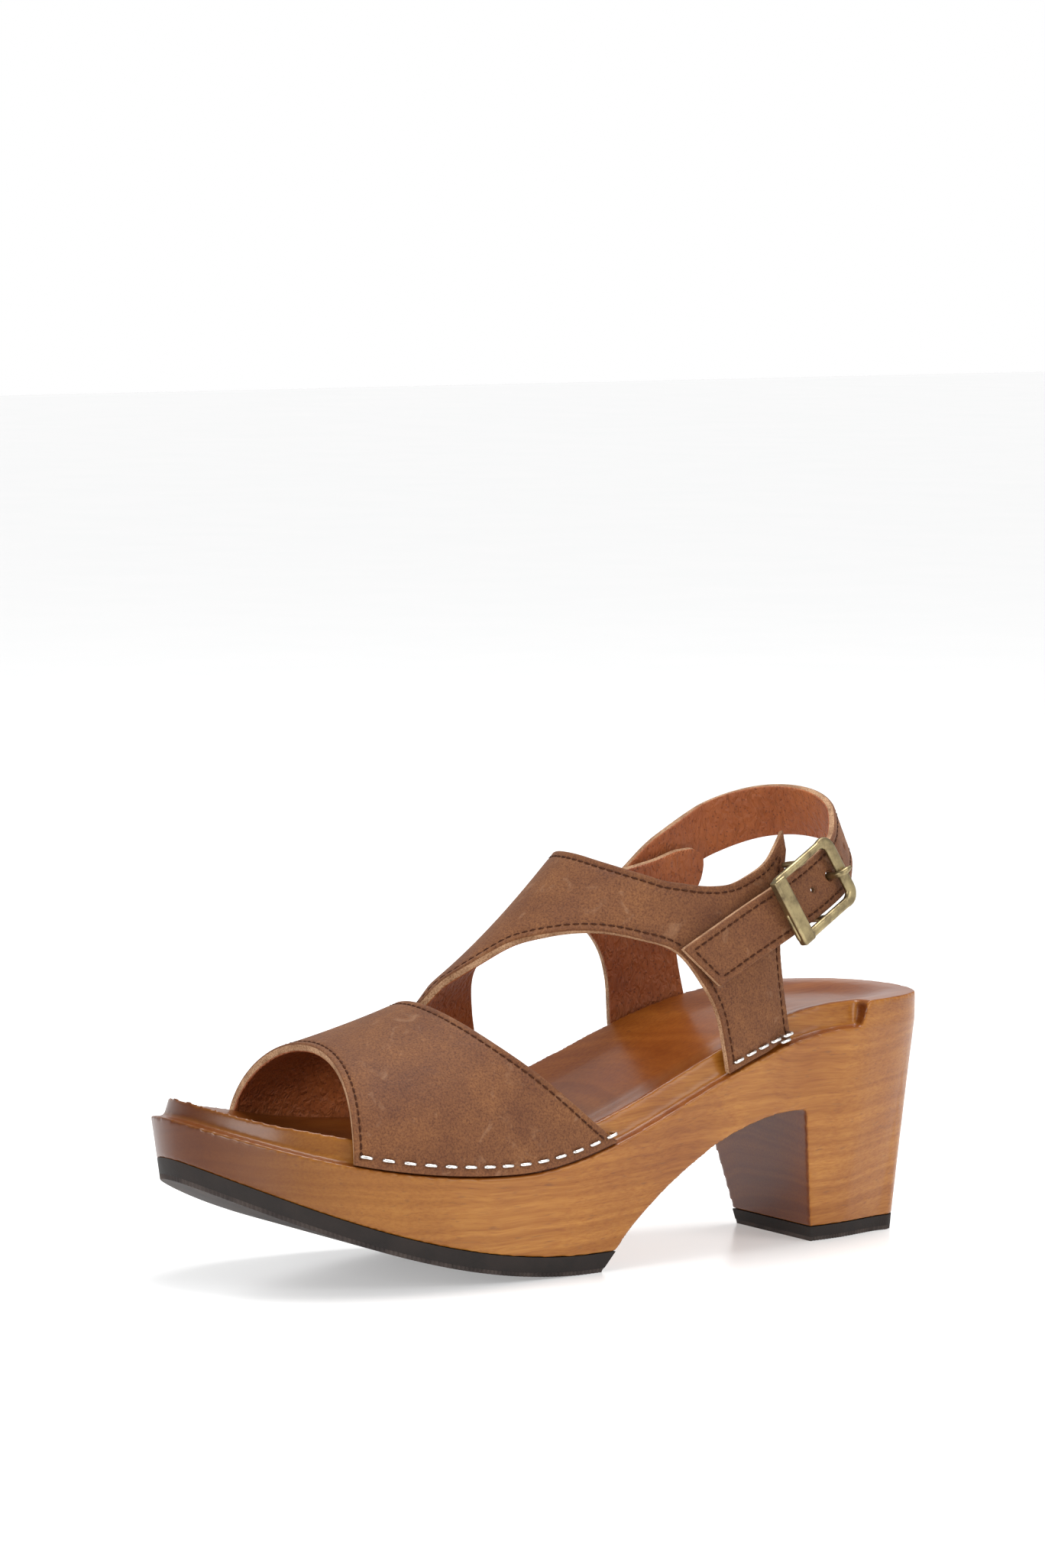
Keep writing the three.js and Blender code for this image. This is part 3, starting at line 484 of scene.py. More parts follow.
def ring_faces(count, levels):
    return [
        (a * count + i, a * count + (i + 1) % count, b * count + (i + 1) % count, b * count + i)
        for a, b in zip(range(levels - 1), range(1, levels))
        for i in range(count)
    ]


def inside(points, loop):
    """Which flat points lie inside a closed loop."""
    x, y = points[:, 0], points[:, 1]
    within = np.zeros(len(points), bool)
    for (x0, y0), (x1, y1) in zip(loop, np.roll(loop, -1, axis=0)):
        if y0 == y1:
            continue
        crosses = ((y0 > y) != (y1 > y)) & (x < (x1 - x0) * (y - y0) / (y1 - y0) + x0)
        within ^= crosses
    return within


def triangulated(points, loops):
    """Triangles of flat points inside the first loop of point numbers and outside the others."""
    edges = [(a, b) for loop in loops for a, b in zip(loop, [*loop[1:], loop[0]])]
    made = delaunay_2d_cdt([Vector(p) for p in points], edges, [], 0, 1e-7)
    where = np.array([list(v) for v in made[0]])
    faces = np.array([list(f) for f in made[2]])
    centres = where[faces].mean(axis=1)
    keep = inside(centres, points[loops[0]])
    for loop in loops[1:]:
        keep &= ~inside(centres, points[loop])
    return where, faces[keep]


def leather_sheet(name, edge, place, depths, materials, cutouts=(), dents=(), rounded="outer"):
    """A closed sheet of leather with rounded edges. edge is its outline and which of its points have a
    seam beside them, in two values that place(a, b, depth) puts in space. depths are those of its outer
    and inner face, cutouts are loops inside it, and dents are where staples press it in."""
    outline, seam = edge
    loops = [outline, *(np.array(c) for c in cutouts)]
    rim = np.array([place(a, b, 0) for loop in loops for a, b in loop])
    into = inward(outline, place)
    rings = [(d, outline + into * d) for d in SHEET_RINGS]
    rings += [(0.5, loop + inward(loop, place) * -0.5) for loop in loops[1:]]
    low, high = outline.min(axis=0), outline.max(axis=0)
    grid = [(a, b) for a in np.arange(low[0], high[0], LEATHER_MESH)
            for b in np.arange(low[1], high[1], LEATHER_MESH)]
    sets = [*rings, (GRID_GAP, np.array(grid)), *((DENT_REACH, dent["around"]) for dent in dents)]
    extra = np.vstack([points for _, points in sets])
    wanted = np.concatenate([[0.8 * d] * len(points) for d, points in sets])
    gap = nearest(np.array([place(a, b, 0) for a, b in extra]), rim)[0]
    keep = (gap >= wanted) & inside(extra, outline)
    for cutout in loops[1:]:
        keep &= ~inside(extra, cutout)
    points = np.vstack([*loops, extra[keep]])
    starts = np.cumsum([0, *(len(loop) for loop in loops)])
    where, faces = triangulated(points, [list(range(a, b)) for a, b in zip(starts, starts[1:])])
    surface = np.array([place(a, b, 0) for a, b in where])
    gap, index = nearest(surface, rim)
    curl = np.clip(1 - gap / EDGE_ROUNDING, 0, 1)
    curl = EDGE_ROUNDING * (1 - np.sqrt(1 - curl ** 2))
    pressed = np.zeros(len(where))
    if rounded == "outer":
        beside = np.concatenate([seam, np.zeros(len(rim) - len(seam))])[index]
        pressed += beside * SEAM_GROOVE * np.exp(-((gap - SEAM_INSET) / 0.5) ** 2)
        for dent in dents:
            reach = distance_to_line(surface, dent["from"], dent["to"])
            pressed += STAPLE_DENT * np.exp(-(reach / DENT_REACH) ** 2)
    outer = depths[0] + pressed + (curl if rounded == "outer" else 0)
    inner = depths[1] - (curl if rounded == "inner" else 0) + np.zeros(len(where))
    vertices = [place(a, b, d) for (a, b), d in zip(where, outer)]
    vertices += [place(a, b, d) for (a, b), d in zip(where, inner)]
    count = len(where)
    edges = {(int(a), int(b)) for face in faces for a, b in zip(face, np.roll(face, -1))}
    walls = [(b, a, a + count, b + count) for a, b in sorted(edges) if (b, a) not in edges]
    polygons = [tuple(map(int, f)) for f in faces]
    polygons += [tuple(int(v) + count for v in f[::-1]) for f in faces] + walls
    indices = [0] * (2 * len(faces)) + [1] * len(walls)
    return add_piece(name, vertices, polygons, materials, indices)


def nearest(points, others):
    """Distance to the nearest of the other points, and its number."""
    gaps, numbers = [], []
    for chunk in np.array_split(points, max(1, len(points) // 500)):
        apart = np.linalg.norm(chunk[:, None] - others[None], axis=2)
        gaps.append(apart.min(axis=1))
        numbers.append(apart.argmin(axis=1))
    return np.concatenate(gaps), np.concatenate(numbers)


def distance_to_line(points, start, end):
    start, run = np.array(start), np.array(end) - np.array(start)
    share = np.clip((points - start) @ run / (run @ run), 0, 1)
    return np.linalg.norm(points - start - share[:, None] * run, axis=1)


def inward(loop, place):
    """The step in the two values that moves each point of a loop 1 mm inwards on the surface."""
    steps = []
    small = 0.2
    for before, (a, b), after in zip(np.roll(loop, 1, axis=0), loop, np.roll(loop, -1, axis=0)):
        along = place(*after, 0) - place(*before, 0)
        by_a = (place(a + small, b, 0) - place(a - small, b, 0)) / (2 * small)
        by_b = (place(a, b + small, 0) - place(a, b - small, 0)) / (2 * small)
        into = by_a.cross(by_b).cross(along).normalized()
        square = np.array([[by_a.dot(by_a), by_a.dot(by_b)], [by_a.dot(by_b), by_b.dot(by_b)]])
        steps.append(np.linalg.solve(square, [by_a.dot(into), by_b.dot(into)]))
    return np.array(steps)


def edge_of(stretches):
    """A closed outline from stretches of points, each with or without a seam, walked anticlockwise."""
    marked = [(a, b, int(sewn)) for points, sewn in stretches for a, b in points]
    loop = evenly(marked, OUTLINE_STEP, closed=True)
    following = np.roll(loop, -1, axis=0)
    area = (loop[:, 0] * following[:, 1] - following[:, 0] * loop[:, 1]).sum()
    loop = loop if area > 0 else loop[::-1]
    return loop[:, :2], (loop[:, 2] > 0.5).astype(float)


def seam_runs(edge, place):
    """Lines of points beside the outline, one for each unbroken stretch of seam."""
    outline, seam = edge
    rim = np.array([place(a, b, 0) for a, b in outline])
    moved = outline + inward(outline, place) * SEAM_INSET
    spots = np.array([place(a, b, 0) for a, b in moved])
    wanted = (nearest(spots, rim)[0] > 0.93 * SEAM_INSET) & (seam > 0)
    first = int(np.argmin(wanted))
    runs, run = [], []
    for i in [*range(first, len(outline)), *range(first + 1)]:
        if wanted[i]:
            run.append(moved[i])
        elif run:
            runs.append(run)
            run = []
    return [r for r in runs if len(r) > 4]


def stitch(name, runs, place, material, depth=0.1):
    """Rows of stitches along lines of values that place(a, b, depth) puts in space."""
    vertices, faces = [], []
    sides, profile = 6, [(-1, 0.35), (-0.8, 0.85), (0, 1), (0.8, 0.85), (1, 0.35)]
    for run in runs:
        line = np.array([place(a, b, depth) for a, b in run])
        above = np.array([place(a, b, depth - 1) for a, b in run])
        steps = np.concatenate([[0], np.cumsum(np.linalg.norm(np.diff(line, axis=0), axis=1))])
        count = max(1, int(steps[-1] / STITCH_PITCH))
        for i in range(count):
            middle = (i + 0.5) * steps[-1] / count
            at = [Vector([np.interp(middle + s, steps, line[:, k]) for k in range(3)])
                  for s in (-STITCH_LENGTH / 2, 0, STITCH_LENGTH / 2)]
            up = Vector([np.interp(middle, steps, above[:, k]) for k in range(3)]) - at[1]
            along = (at[2] - at[0]).normalized()
            across = along.cross(up).normalized()
            up = across.cross(along)
            base = len(vertices)
            for share, width in profile:
                centre = at[1] + (at[2] - at[0]) * share / 2 - up * (0.22 * share * share)
                for k in range(sides):
                    turn = 2 * math.pi * k / sides
                    offset = across * math.cos(turn) + up * math.sin(turn) * 0.8
                    vertices.append(centre + offset * THREAD_RADIUS * width)
            for ring in range(len(profile) - 1):
                for k in range(sides):
                    a, b = base + ring * sides + k, base + ring * sides + (k + 1) % sides
                    faces.append((a, b, b + sides, a + sides))
            faces.append(tuple(base + k for k in reversed(range(sides))))
            faces.append(tuple(base + (len(profile) - 1) * sides + k for k in range(sides)))
    return add_piece(name, vertices, faces, [material], sharp=70)


def swept(name, path, sizes, materials, matrix, ups=None, sides=12, closed=False):
    """A bar along a path: sizes are its half width and half height at each point."""
    path = [Vector(p) for p in path]
    count = len(path)
    vertices, faces = [], []
    for i, point in enumerate(path):
        before = path[(i - 1) % count] if closed else path[max(i - 1, 0)]
        after = path[(i + 1) % count] if closed else path[min(i + 1, count - 1)]
        along = (after - before).normalized()
        up = Vector(ups[i]) if ups else Vector((0, 0, 1))
        across = up.cross(along).normalized()
        up = along.cross(across)
        half_width, half_height = sizes[i] if isinstance(sizes, list) else sizes
        for k in range(sides):
            turn = 2 * math.pi * (k + 0.5) / sides
            c, s = math.cos(turn), math.sin(turn)
            c, s = math.copysign(abs(c) ** SQUARENESS, c), math.copysign(abs(s) ** SQUARENESS, s)
            vertices.append(matrix @ (point + across * c * half_width + up * s * half_height))
    spans = count if closed else count - 1
    for i in range(spans):
        for k in range(sides):
            a, b = i * sides + k, i * sides + (k + 1) % sides
            c, d = (i + 1) % count * sides + (k + 1) % sides, (i + 1) % count * sides + k
            faces.append((a, b, c, d))
    if not closed:
        faces.append(tuple(reversed(range(sides))))
        faces.append(tuple((count - 1) * sides + k for k in range(sides)))
    return add_piece(name, vertices, faces, materials, sharp=50)


# ---- Finishes -------------------------------------------------------------------------------------

def colour(hex_code):
    """An sRGB hex colour as the linear values that a shader takes."""
    parts = [int(hex_code[i:i + 2], 16) / 255 for i in (1, 3, 5)]
    return (*(p / 12.92 if p <= 0.04045 else ((p + 0.055) / 1.055) ** 2.4 for p in parts), 1)


def every(size):
    """The texture scale that repeats about once in a size in millimetres."""
    return 1 / (size * MM)


def add_node(tree, kind, inputs=None, stops=(), **settings):
    """Adds a shader node with its settings, and feeds its inputs with values, sockets or nodes."""
    node = tree.nodes.new("ShaderNode" + kind)
    for name, value in settings.items():
        setattr(node, name, value)
    for name, value in (inputs or {}).items():
        if isinstance(value, bpy.types.Node):
            value = value.outputs[0]
        if isinstance(value, bpy.types.NodeSocket):
            tree.links.new(value, node.inputs[name])
        else:
            node.inputs[name].default_value = value
    for i, (at, shade) in enumerate(stops):
        ramp = node.color_ramp.elements
        element = ramp[i] if i < len(ramp) else ramp.new(at)
        element.position = at
        element.color = colour(shade)
    return node


def start_finish(name, **values):
    material = bpy.data.materials.new(name)
    material.use_nodes = True
    tree = material.node_tree
    tree.nodes.clear()
    shader = add_node(tree, "BsdfPrincipled", values)
    add_node(tree, "OutputMaterial", {"Surface": shader})
    return material, tree, shader, add_node(tree, "TexCoord").outputs["Object"]


def feed(tree, shader, **sources):
    for name, source in sources.items():
        tree.links.new(source.outputs[0], shader.inputs[name.replace("_", " ")])


def stained_wood():
    # Limewood laminated lengthwise, sanded, stained honey brown and waxed. It has long fine lines with
    # short dark flecks, a satin gloss and a cloudy stain, and it is darker towards the toe. Painted shade
    # darkens the surfaces that face up and those that face the toe.
    material, tree, shader, place = start_finish("stained limewood",
        **{"Coat Weight": 0.45, "Coat Roughness": 0.22, "Specular IOR Level": 0.12})
    drift = add_node(tree, "TexNoise", {"Vector": place, "Scale": every(55), "Detail": 2.0})
    bent = add_node(tree, "VectorMath", {0: drift.outputs["Color"], 1: (0.012, 0.0, 0.012), 2: place},
                    operation="MULTIPLY_ADD")
    heart = add_node(tree, "VectorMath", {0: bent, 1: (1.0, 0.05, 1.0), 2: (-0.02, 0.0, 0.09)},
                     operation="MULTIPLY_ADD")
    radius = add_node(tree, "VectorMath", {0: heart}, operation="LENGTH").outputs["Value"]
    rings = add_node(tree, "TexNoise", {"W": radius, "Scale": every(3.2), "Detail": 3.0, "Roughness": 0.6},
                     noise_dimensions="1D")
    along = add_node(tree, "VectorMath", {0: bent, 1: (1.0, 0.035, 1.0)}, operation="MULTIPLY")
    fibres = add_node(tree, "TexNoise",
                      {"Vector": along, "Scale": every(0.55), "Detail": 3.0, "Roughness": 0.65})
    short = add_node(tree, "VectorMath", {0: place, 1: (1.0, 0.13, 1.0)}, operation="MULTIPLY")
    pores = add_node(tree, "TexNoise", {"Vector": short, "Scale": every(0.75), "Detail": 1.0})
    flecks = add_node(tree, "MapRange",
                      {"Value": pores, "From Min": 0.64, "From Max": 0.78, "To Max": 0.55})
    cloud = add_node(tree, "TexNoise", {"Vector": place, "Scale": every(38), "Detail": 3.0})
    ring_tone = add_node(tree, "ValToRGB", {"Fac": rings}, stops=[(0.3, "#99601f"), (0.7, "#ac7430")])
    fibre_tone = add_node(tree, "ValToRGB", {"Fac": fibres}, stops=[(0.28, "#e2cdb6"), (0.6, "#ffffff")])
    cloud_tone = add_node(tree, "ValToRGB", {"Fac": cloud}, stops=[(0.3, "#dccab6"), (0.65, "#ffffff")])
    grained = add_node(tree, "MixRGB", {"Fac": 1.0, "Color1": ring_tone, "Color2": fibre_tone},
                       blend_type="MULTIPLY")
    clouded = add_node(tree, "MixRGB", {"Fac": 1.0, "Color1": grained, "Color2": cloud_tone},
                       blend_type="MULTIPLY")
    flecked = add_node(tree, "MixRGB", {"Fac": flecks, "Color1": clouded, "Color2": colour("#6e4220")})
    # Darker towards the toe.
    length = add_node(tree, "SeparateXYZ", {"Vector": place}).outputs["Y"]
    to_toe = add_node(tree, "MapRange",
                      {"Value": length, "From Min": -0.02, "From Max": -0.12, "To Max": 0.7})
    toe_darkened = add_node(tree, "MixRGB", {"Fac": to_toe, "Color1": flecked, "Color2": colour("#704414")})
    facing = add_node(tree, "SeparateXYZ", {"Vector": add_node(tree, "TexCoord").outputs["Normal"]})
    # Painted shade: surfaces facing up are darkened, the footbed most of all.
    top = add_node(tree, "MapRange",
                   {"Value": facing.outputs["Z"], "From Min": 0.6, "From Max": 0.95, "To Max": 0.8})
    footbed = add_node(tree, "MixRGB", {"Fac": top, "Color1": toe_darkened, "Color2": colour("#d0a878")},
                       blend_type="MULTIPLY")
    # Painted shade: surfaces facing the toe, such as the heel's breast and the toe's end, are darkened.
    front = add_node(tree, "MapRange",
                     {"Value": facing.outputs["Y"], "From Min": -0.4, "From Max": -0.9, "To Max": 0.9})
    wear_and_painted_shade = add_node(tree, "MixRGB", {"Fac": front, "Color1": footbed, "Color2": colour("#9c7340")},
                    blend_type="MULTIPLY")
    relief = add_node(tree, "Bump", {"Height": fibres, "Strength": 0.25, "Distance": 0.0001})
    gloss = add_node(tree, "MapRange",
                     {"Value": cloud, "From Min": 0.3, "From Max": 0.7, "To Min": 0.36, "To Max": 0.46})
    feed(tree, shader, Base_Color=wear_and_painted_shade, Normal=relief, Roughness=gloss)
    return material


def oiled_nubuck():
    # Cowhide buffed to a fine nap and oiled. It is matt with a soft sheen, mottled in patches of some
    # 12 mm, finely speckled, and paler where the nap is rubbed.
    material, tree, shader, place = start_finish(
        "oiled nubuck", **{"Sheen Weight": 0.06, "Sheen Roughness": 0.5, "Specular IOR Level": 0.35,
                           "Sheen Tint": colour("#d9b79a")})
    patches = add_node(tree, "TexNoise",
                       {"Vector": place, "Scale": every(13), "Detail": 4.0, "Roughness": 0.6})
    speckle = add_node(tree, "TexNoise",
                       {"Vector": place, "Scale": every(0.6), "Detail": 3.0, "Roughness": 0.7})
    pebbles = add_node(tree, "TexVoronoi", {"Vector": place, "Scale": every(1.1)})
    creases = add_node(tree, "TexNoise",
                       {"Vector": place, "Scale": every(5.5), "Detail": 3.0, "Distortion": 0.6})
    rubs = add_node(tree, "TexNoise",
                    {"Vector": place, "Scale": every(7), "Detail": 5.0, "Distortion": 1.2})
    hide = add_node(tree, "ValToRGB", {"Fac": patches},
                    stops=[(0.3, "#683c1e"), (0.7, "#81532f")])
    dots = add_node(tree, "ValToRGB", {"Fac": speckle}, stops=[(0.3, "#ad9686"), (0.62, "#ffffff")])
    spotted = add_node(tree, "MixRGB", {"Fac": 1.0, "Color1": hide, "Color2": dots}, blend_type="MULTIPLY")
    rubbed = add_node(tree, "MapRange", {"Value": rubs, "From Min": 0.6, "From Max": 0.78, "To Max": 0.4})
    # Paler where the nap is rubbed, which is wear.
    wear_and_painted_shade = add_node(tree, "MixRGB", {"Fac": rubbed, "Color1": spotted, "Color2": colour("#a07a5c")})
    nap = add_node(tree, "Bump", {"Height": speckle, "Strength": 0.6, "Distance": 0.00022})
    grain = add_node(tree, "Bump", {"Height": pebbles, "Strength": 0.2, "Distance": 0.0002, "Normal": nap})
    relief = add_node(tree, "Bump",
                      {"Height": creases, "Strength": 0.3, "Distance": 0.0009, "Normal": grain})
    gloss = add_node(tree, "MapRange", {"Value": patches, "To Min": 0.62, "To Max": 0.82})
    feed(tree, shader, Base_Color=wear_and_painted_shade, Normal=relief, Roughness=gloss)
    return material


def pigskin_lining():
    # Vegetable-tanned pigskin: reddish tan, slightly glossy, with fine wrinkles 1 to 2 mm apart and
    # pores in small groups.
    material, tree, shader, place = start_finish("pigskin lining")
    patches = add_node(tree, "TexNoise", {"Vector": place, "Scale": every(16), "Detail": 3.0})
    upright = add_node(tree, "VectorMath", {0: place, 1: (1.0, 1.0, 0.45)}, operation="MULTIPLY")
    wrinkles = add_node(tree, "TexNoise",
                        {"Vector": upright, "Scale": every(2), "Detail": 3.0, "Distortion": 1.2})
    pores = add_node(tree, "TexVoronoi", {"Vector": place, "Scale": every(1.3)})
    hide = add_node(tree, "ValToRGB", {"Fac": patches}, stops=[(0.3, "#86421a"), (0.7, "#9f5726")])
    holes = add_node(tree, "ValToRGB", {"Fac": pores}, stops=[(0.05, "#8d7060"), (0.3, "#ffffff")])
    pored = add_node(tree, "MixRGB", {"Fac": 0.8, "Color1": hide, "Color2": holes}, blend_type="MULTIPLY")
    relief = add_node(tree, "Bump", {"Height": wrinkles, "Strength": 1.0, "Distance": 0.0014})
    gloss = add_node(tree, "MapRange", {"Value": wrinkles, "To Min": 0.5, "To Max": 0.7})
    feed(tree, shader, Base_Color=pored, Normal=relief, Roughness=gloss)
    return material


def cut_leather():
    # The raw cut edge of the hides: pale tan, fibrous and matt, with darker stain in places.
    material, tree, shader, place = start_finish("cut leather edge", Roughness=0.85)
    fibres = add_node(tree, "TexNoise", {"Vector": place, "Scale": every(0.5), "Detail": 4.0})
    stain = add_node(tree, "TexNoise", {"Vector": place, "Scale": every(6), "Detail": 2.0})
    shade = add_node(tree, "ValToRGB", {"Fac": stain}, stops=[(0.35, "#96704f"), (0.6, "#b8926f")])
    rough = add_node(tree, "ValToRGB", {"Fac": fibres}, stops=[(0.3, "#b09a88"), (0.6, "#ffffff")])
    mottled = add_node(tree, "MixRGB", {"Fac": 1.0, "Color1": shade, "Color2": rough},
                       blend_type="MULTIPLY")
    relief = add_node(tree, "Bump", {"Height": fibres, "Strength": 0.5, "Distance": 0.0002})
    feed(tree, shader, Base_Color=mottled, Normal=relief)
    return material


def waxed_thread():
    # Waxed polyester thread, dark brown: its twist shows as fine slanting ribs.
    material, tree, shader, place = start_finish("waxed thread",
                                                 **{"Roughness": 0.7, "Specular IOR Level": 0.15})
    twist = add_node(tree, "TexNoise", {"Vector": place, "Scale": every(0.45), "Detail": 2.0})
    shade = add_node(tree, "ValToRGB", {"Fac": twist}, stops=[(0.35, "#2e1609"), (0.65, "#4c2711")])
    relief = add_node(tree, "Bump", {"Height": twist, "Strength": 0.4, "Distance": 0.0001})
    feed(tree, shader, Base_Color=shade, Normal=relief)
    return material


def moulded_rubber(name, low, high):
    # Moulded rubber, dark grey brown: matt, with fine dust and a slightly uneven skin.
    material, tree, shader, place = start_finish(name, **{"Specular IOR Level": 0.25})
    skin = add_node(tree, "TexNoise",
                    {"Vector": place, "Scale": every(0.8), "Detail": 4.0, "Roughness": 0.6})
    dust = add_node(tree, "TexNoise", {"Vector": place, "Scale": every(9), "Detail": 5.0})
    shade = add_node(tree, "ValToRGB", {"Fac": dust}, stops=[(0.35, low), (0.7, high)])
    relief = add_node(tree, "Bump", {"Height": skin, "Strength": 0.35, "Distance": 0.0002})
    gloss = add_node(tree, "MapRange", {"Value": dust, "To Min": 0.55, "To Max": 0.8})
    feed(tree, shader, Base_Color=shade, Normal=relief, Roughness=gloss)
    return material


def antique_brass():
    # Cast brass, antiqued and brushed: olive brown in its patina, paler where it is rubbed.
    material, tree, shader, place = start_finish("antique brass", Metallic=1.0)
    patina = add_node(tree, "TexNoise",
                      {"Vector": place, "Scale": every(5), "Detail": 5.0, "Roughness": 0.65})
    grit = add_node(tree, "TexNoise", {"Vector": place, "Scale": every(0.5), "Detail": 3.0})
    shade = add_node(tree, "ValToRGB", {"Fac": patina}, stops=[(0.3, "#685b45"), (0.62, "#a6966f")])
    relief = add_node(tree, "Bump", {"Height": grit, "Strength": 0.25, "Distance": 0.0001})
    gloss = add_node(tree, "MapRange",
                     {"Value": patina, "From Min": 0.3, "From Max": 0.7, "To Min": 0.48, "To Max": 0.3})
    feed(tree, shader, Base_Color=shade, Normal=relief, Roughness=gloss)
    return material


def bright_wire():
    # Galvanised steel wire, flattened by the stapler: bright, with fine drawing marks.
    material, tree, shader, place = start_finish("bright steel wire", Metallic=1.0)
    marks = add_node(tree, "TexNoise", {"Vector": place, "Scale": every(0.6), "Detail": 3.0})
    shade = add_node(tree, "ValToRGB", {"Fac": marks}, stops=[(0.3, "#b9b7b4"), (0.65, "#efeeec")])
    gloss = add_node(tree, "MapRange", {"Value": marks, "To Min": 0.22, "To Max": 0.4})
    feed(tree, shader, Base_Color=shade, Roughness=gloss)
    return material


def studio_floor():
    # Opal acrylic on a light table: white, lit a little from below, and glossy enough to mirror the heel.
    material, tree, shader, place = start_finish(
        "opal acrylic",
        **{"Roughness": 0.25, "Emission Color": colour("#ffffff"), "Emission Strength": 0.3})
    paint = add_node(tree, "TexNoise", {"Vector": place, "Scale": every(90), "Detail": 2.0})
    shade = add_node(tree, "ValToRGB", {"Fac": paint}, stops=[(0.3, "#f3f4f4"), (0.7, "#f6f6f6")])
    feed(tree, shader, Base_Color=shade)
    return material


WOOD = stained_wood()
NUBUCK = oiled_nubuck()
LINING = pigskin_lining()
CUT_EDGE = cut_leather()
THREAD = waxed_thread()
RUBBER = moulded_rubber("moulded rubber", "#1e1917", "#2a2320")
TREAD_RUBBER = moulded_rubber("rough rubber tread", "#2a2321", "#4e443f")
BRASS = antique_brass()
STEEL = bright_wire()


def belongs(piece, slot, *nodes, body="shoe"):
    """Puts a piece on its body and hides the CAD nodes that it stands for. slot is not used."""
    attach(piece, body)
    if nodes:
        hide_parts(*nodes)
    return piece


# ---- Wood and rubber ------------------------------------------------------------------------------

def rebated_rings(ring, normals):
    """Rings from the ground to the rim: the side, the rebate's ledge and the rim's wall."""
    rebate = LEATHER_INSET + REBATE_HIDE + LINING_LAYER + RIM_FIT
    rings = []
    for inset, height in (
        (lambda p, n: lean(n) * (ledge(p[1]) + SIDE_OVERSHOOT), lambda y: -SIDE_OVERSHOOT),
        (lambda p, n: lean(n) / 2, lambda y: ledge(y) - REBATE_EDGE),
        (lambda p, n: 0, ledge_top),
        (lambda p, n: rebate, ledge_top),
        (lambda p, n: rebate + RIM_DRAFT, lambda y: ledge(y) + rim_height(y)),
    ):
        rings.append([(*(p - n * inset(p, n)), height(p[1])) for p, n in zip(ring, normals)])
    return rings


def capped(name, rings, top_height=None, mesh_size=3.0):
    """A closed solid from rings, with a flat floor and a top that is level with the last ring or dished."""
    count = len(rings[0])
    rim = np.array(rings[-1])
    vertices = [p for ring in rings for p in ring]
    faces = ring_faces(count, len(rings))
    flat = rim[:, :2]
    if top_height:
        low, high = flat.min(axis=0), flat.max(axis=0)
        grid = np.array([(x, y) for x in np.arange(low[0], high[0], mesh_size)
                         for y in np.arange(low[1], high[1], mesh_size)])
        clear = inside(grid, flat) & (nearest(grid, flat)[0] > mesh_size / 2)
        points = np.vstack([flat, grid[clear]])
    else:
        points = flat
    _, roof = triangulated(points, [list(range(count))])
    _, base = triangulated(np.array(rings[0])[:, :2], [list(range(count))])
    start = len(vertices) - count
    extra = points[count:]
    if len(extra):
        reach = nearest(extra, flat)[0]
        vertices += [(x, y, top_height(y, d)) for (x, y), d in zip(extra, reach)]
    faces += [tuple(int(v) + start for v in f) for f in roof]
    faces += [tuple(int(v) for v in f[::-1]) for f in base]
    return add_piece(name, vertices, faces, [])


def breast_at(z):
    return mix(BREAST_FOOT, BREAST_TOP, z / ARCH_LEVEL)


BEFORE_TOE = -133
BEHIND_HEEL = 133
UNDERSIDE = [
    (BEFORE_TOE, -4), (BEHIND_HEEL, -4), (BEHIND_HEEL, HEEL_LIFT_THICKNESS),
    (breast_at(HEEL_LIFT_THICKNESS), HEEL_LIFT_THICKNESS),
    *(tuple(p) for p in spline(ARCH_CURVE)[::-1]),
    *rocker_line(OUTSOLE_THICKNESS, ARCH_CURVE[0][0])[::-1][1:],
]


def footbed_height(y, reach):
    return ledge(y) + rim_height(y) - DISH_DEPTH * smoothstep(reach, 0, DISH_MARGIN)


def carved_sole():
    block = capped("wooden_sole_carved", rebated_rings(RING, RING_NORMALS), footbed_height)
    cut(block, side_slab(UNDERSIDE), "DIFFERENCE")
    carving = block.modifiers.new("carving", "REMESH")
    carving.mode = "VOXEL"
    carving.voxel_size = WOOD_VOXEL * MM
    carving.use_smooth_shade = True
    sanding = block.modifiers.new("sanding", "SMOOTH")
    sanding.factor = 0.5
    sanding.iterations = 3
    settle(block)
    block.data.materials.clear()
    block.data.materials.append(WOOD)
    block.data.polygons.foreach_set("use_smooth", [True] * len(block.data.polygons))
    return belongs(block, "stained_wood", "wooden_sole")


def rubber_part(name, low_line, high_line, material, teeth=0.0):
    """A slice of the sole's side between two lines in side view, with teeth round its edge."""
    ring, normals = sole_ring(TEETH_COLUMNS)
    foot, _, top, *_ = rebated_rings(ring, normals)
    steps = np.arange(TEETH_COLUMNS)
    bite = teeth * (1 + np.sin(2 * math.pi * steps * TEETH_COUNT / TEETH_COLUMNS)) / 2
    rings = [[(x - nx * d, y - ny * d, z) for (x, y, z), (nx, ny), d in zip(one, normals, bite)]
             for one in (foot, top)]
    part = capped(name, rings)
    cut(part, side_slab([*low_line, *high_line[::-1]]), "INTERSECT")
    part.data.materials.clear()
    part.data.materials.append(material)
    part.data.polygons.foreach_set("use_smooth", [True] * len(part.data.polygons))
    part.data.set_sharp_from_angle(angle=math.radians(40))
    return part


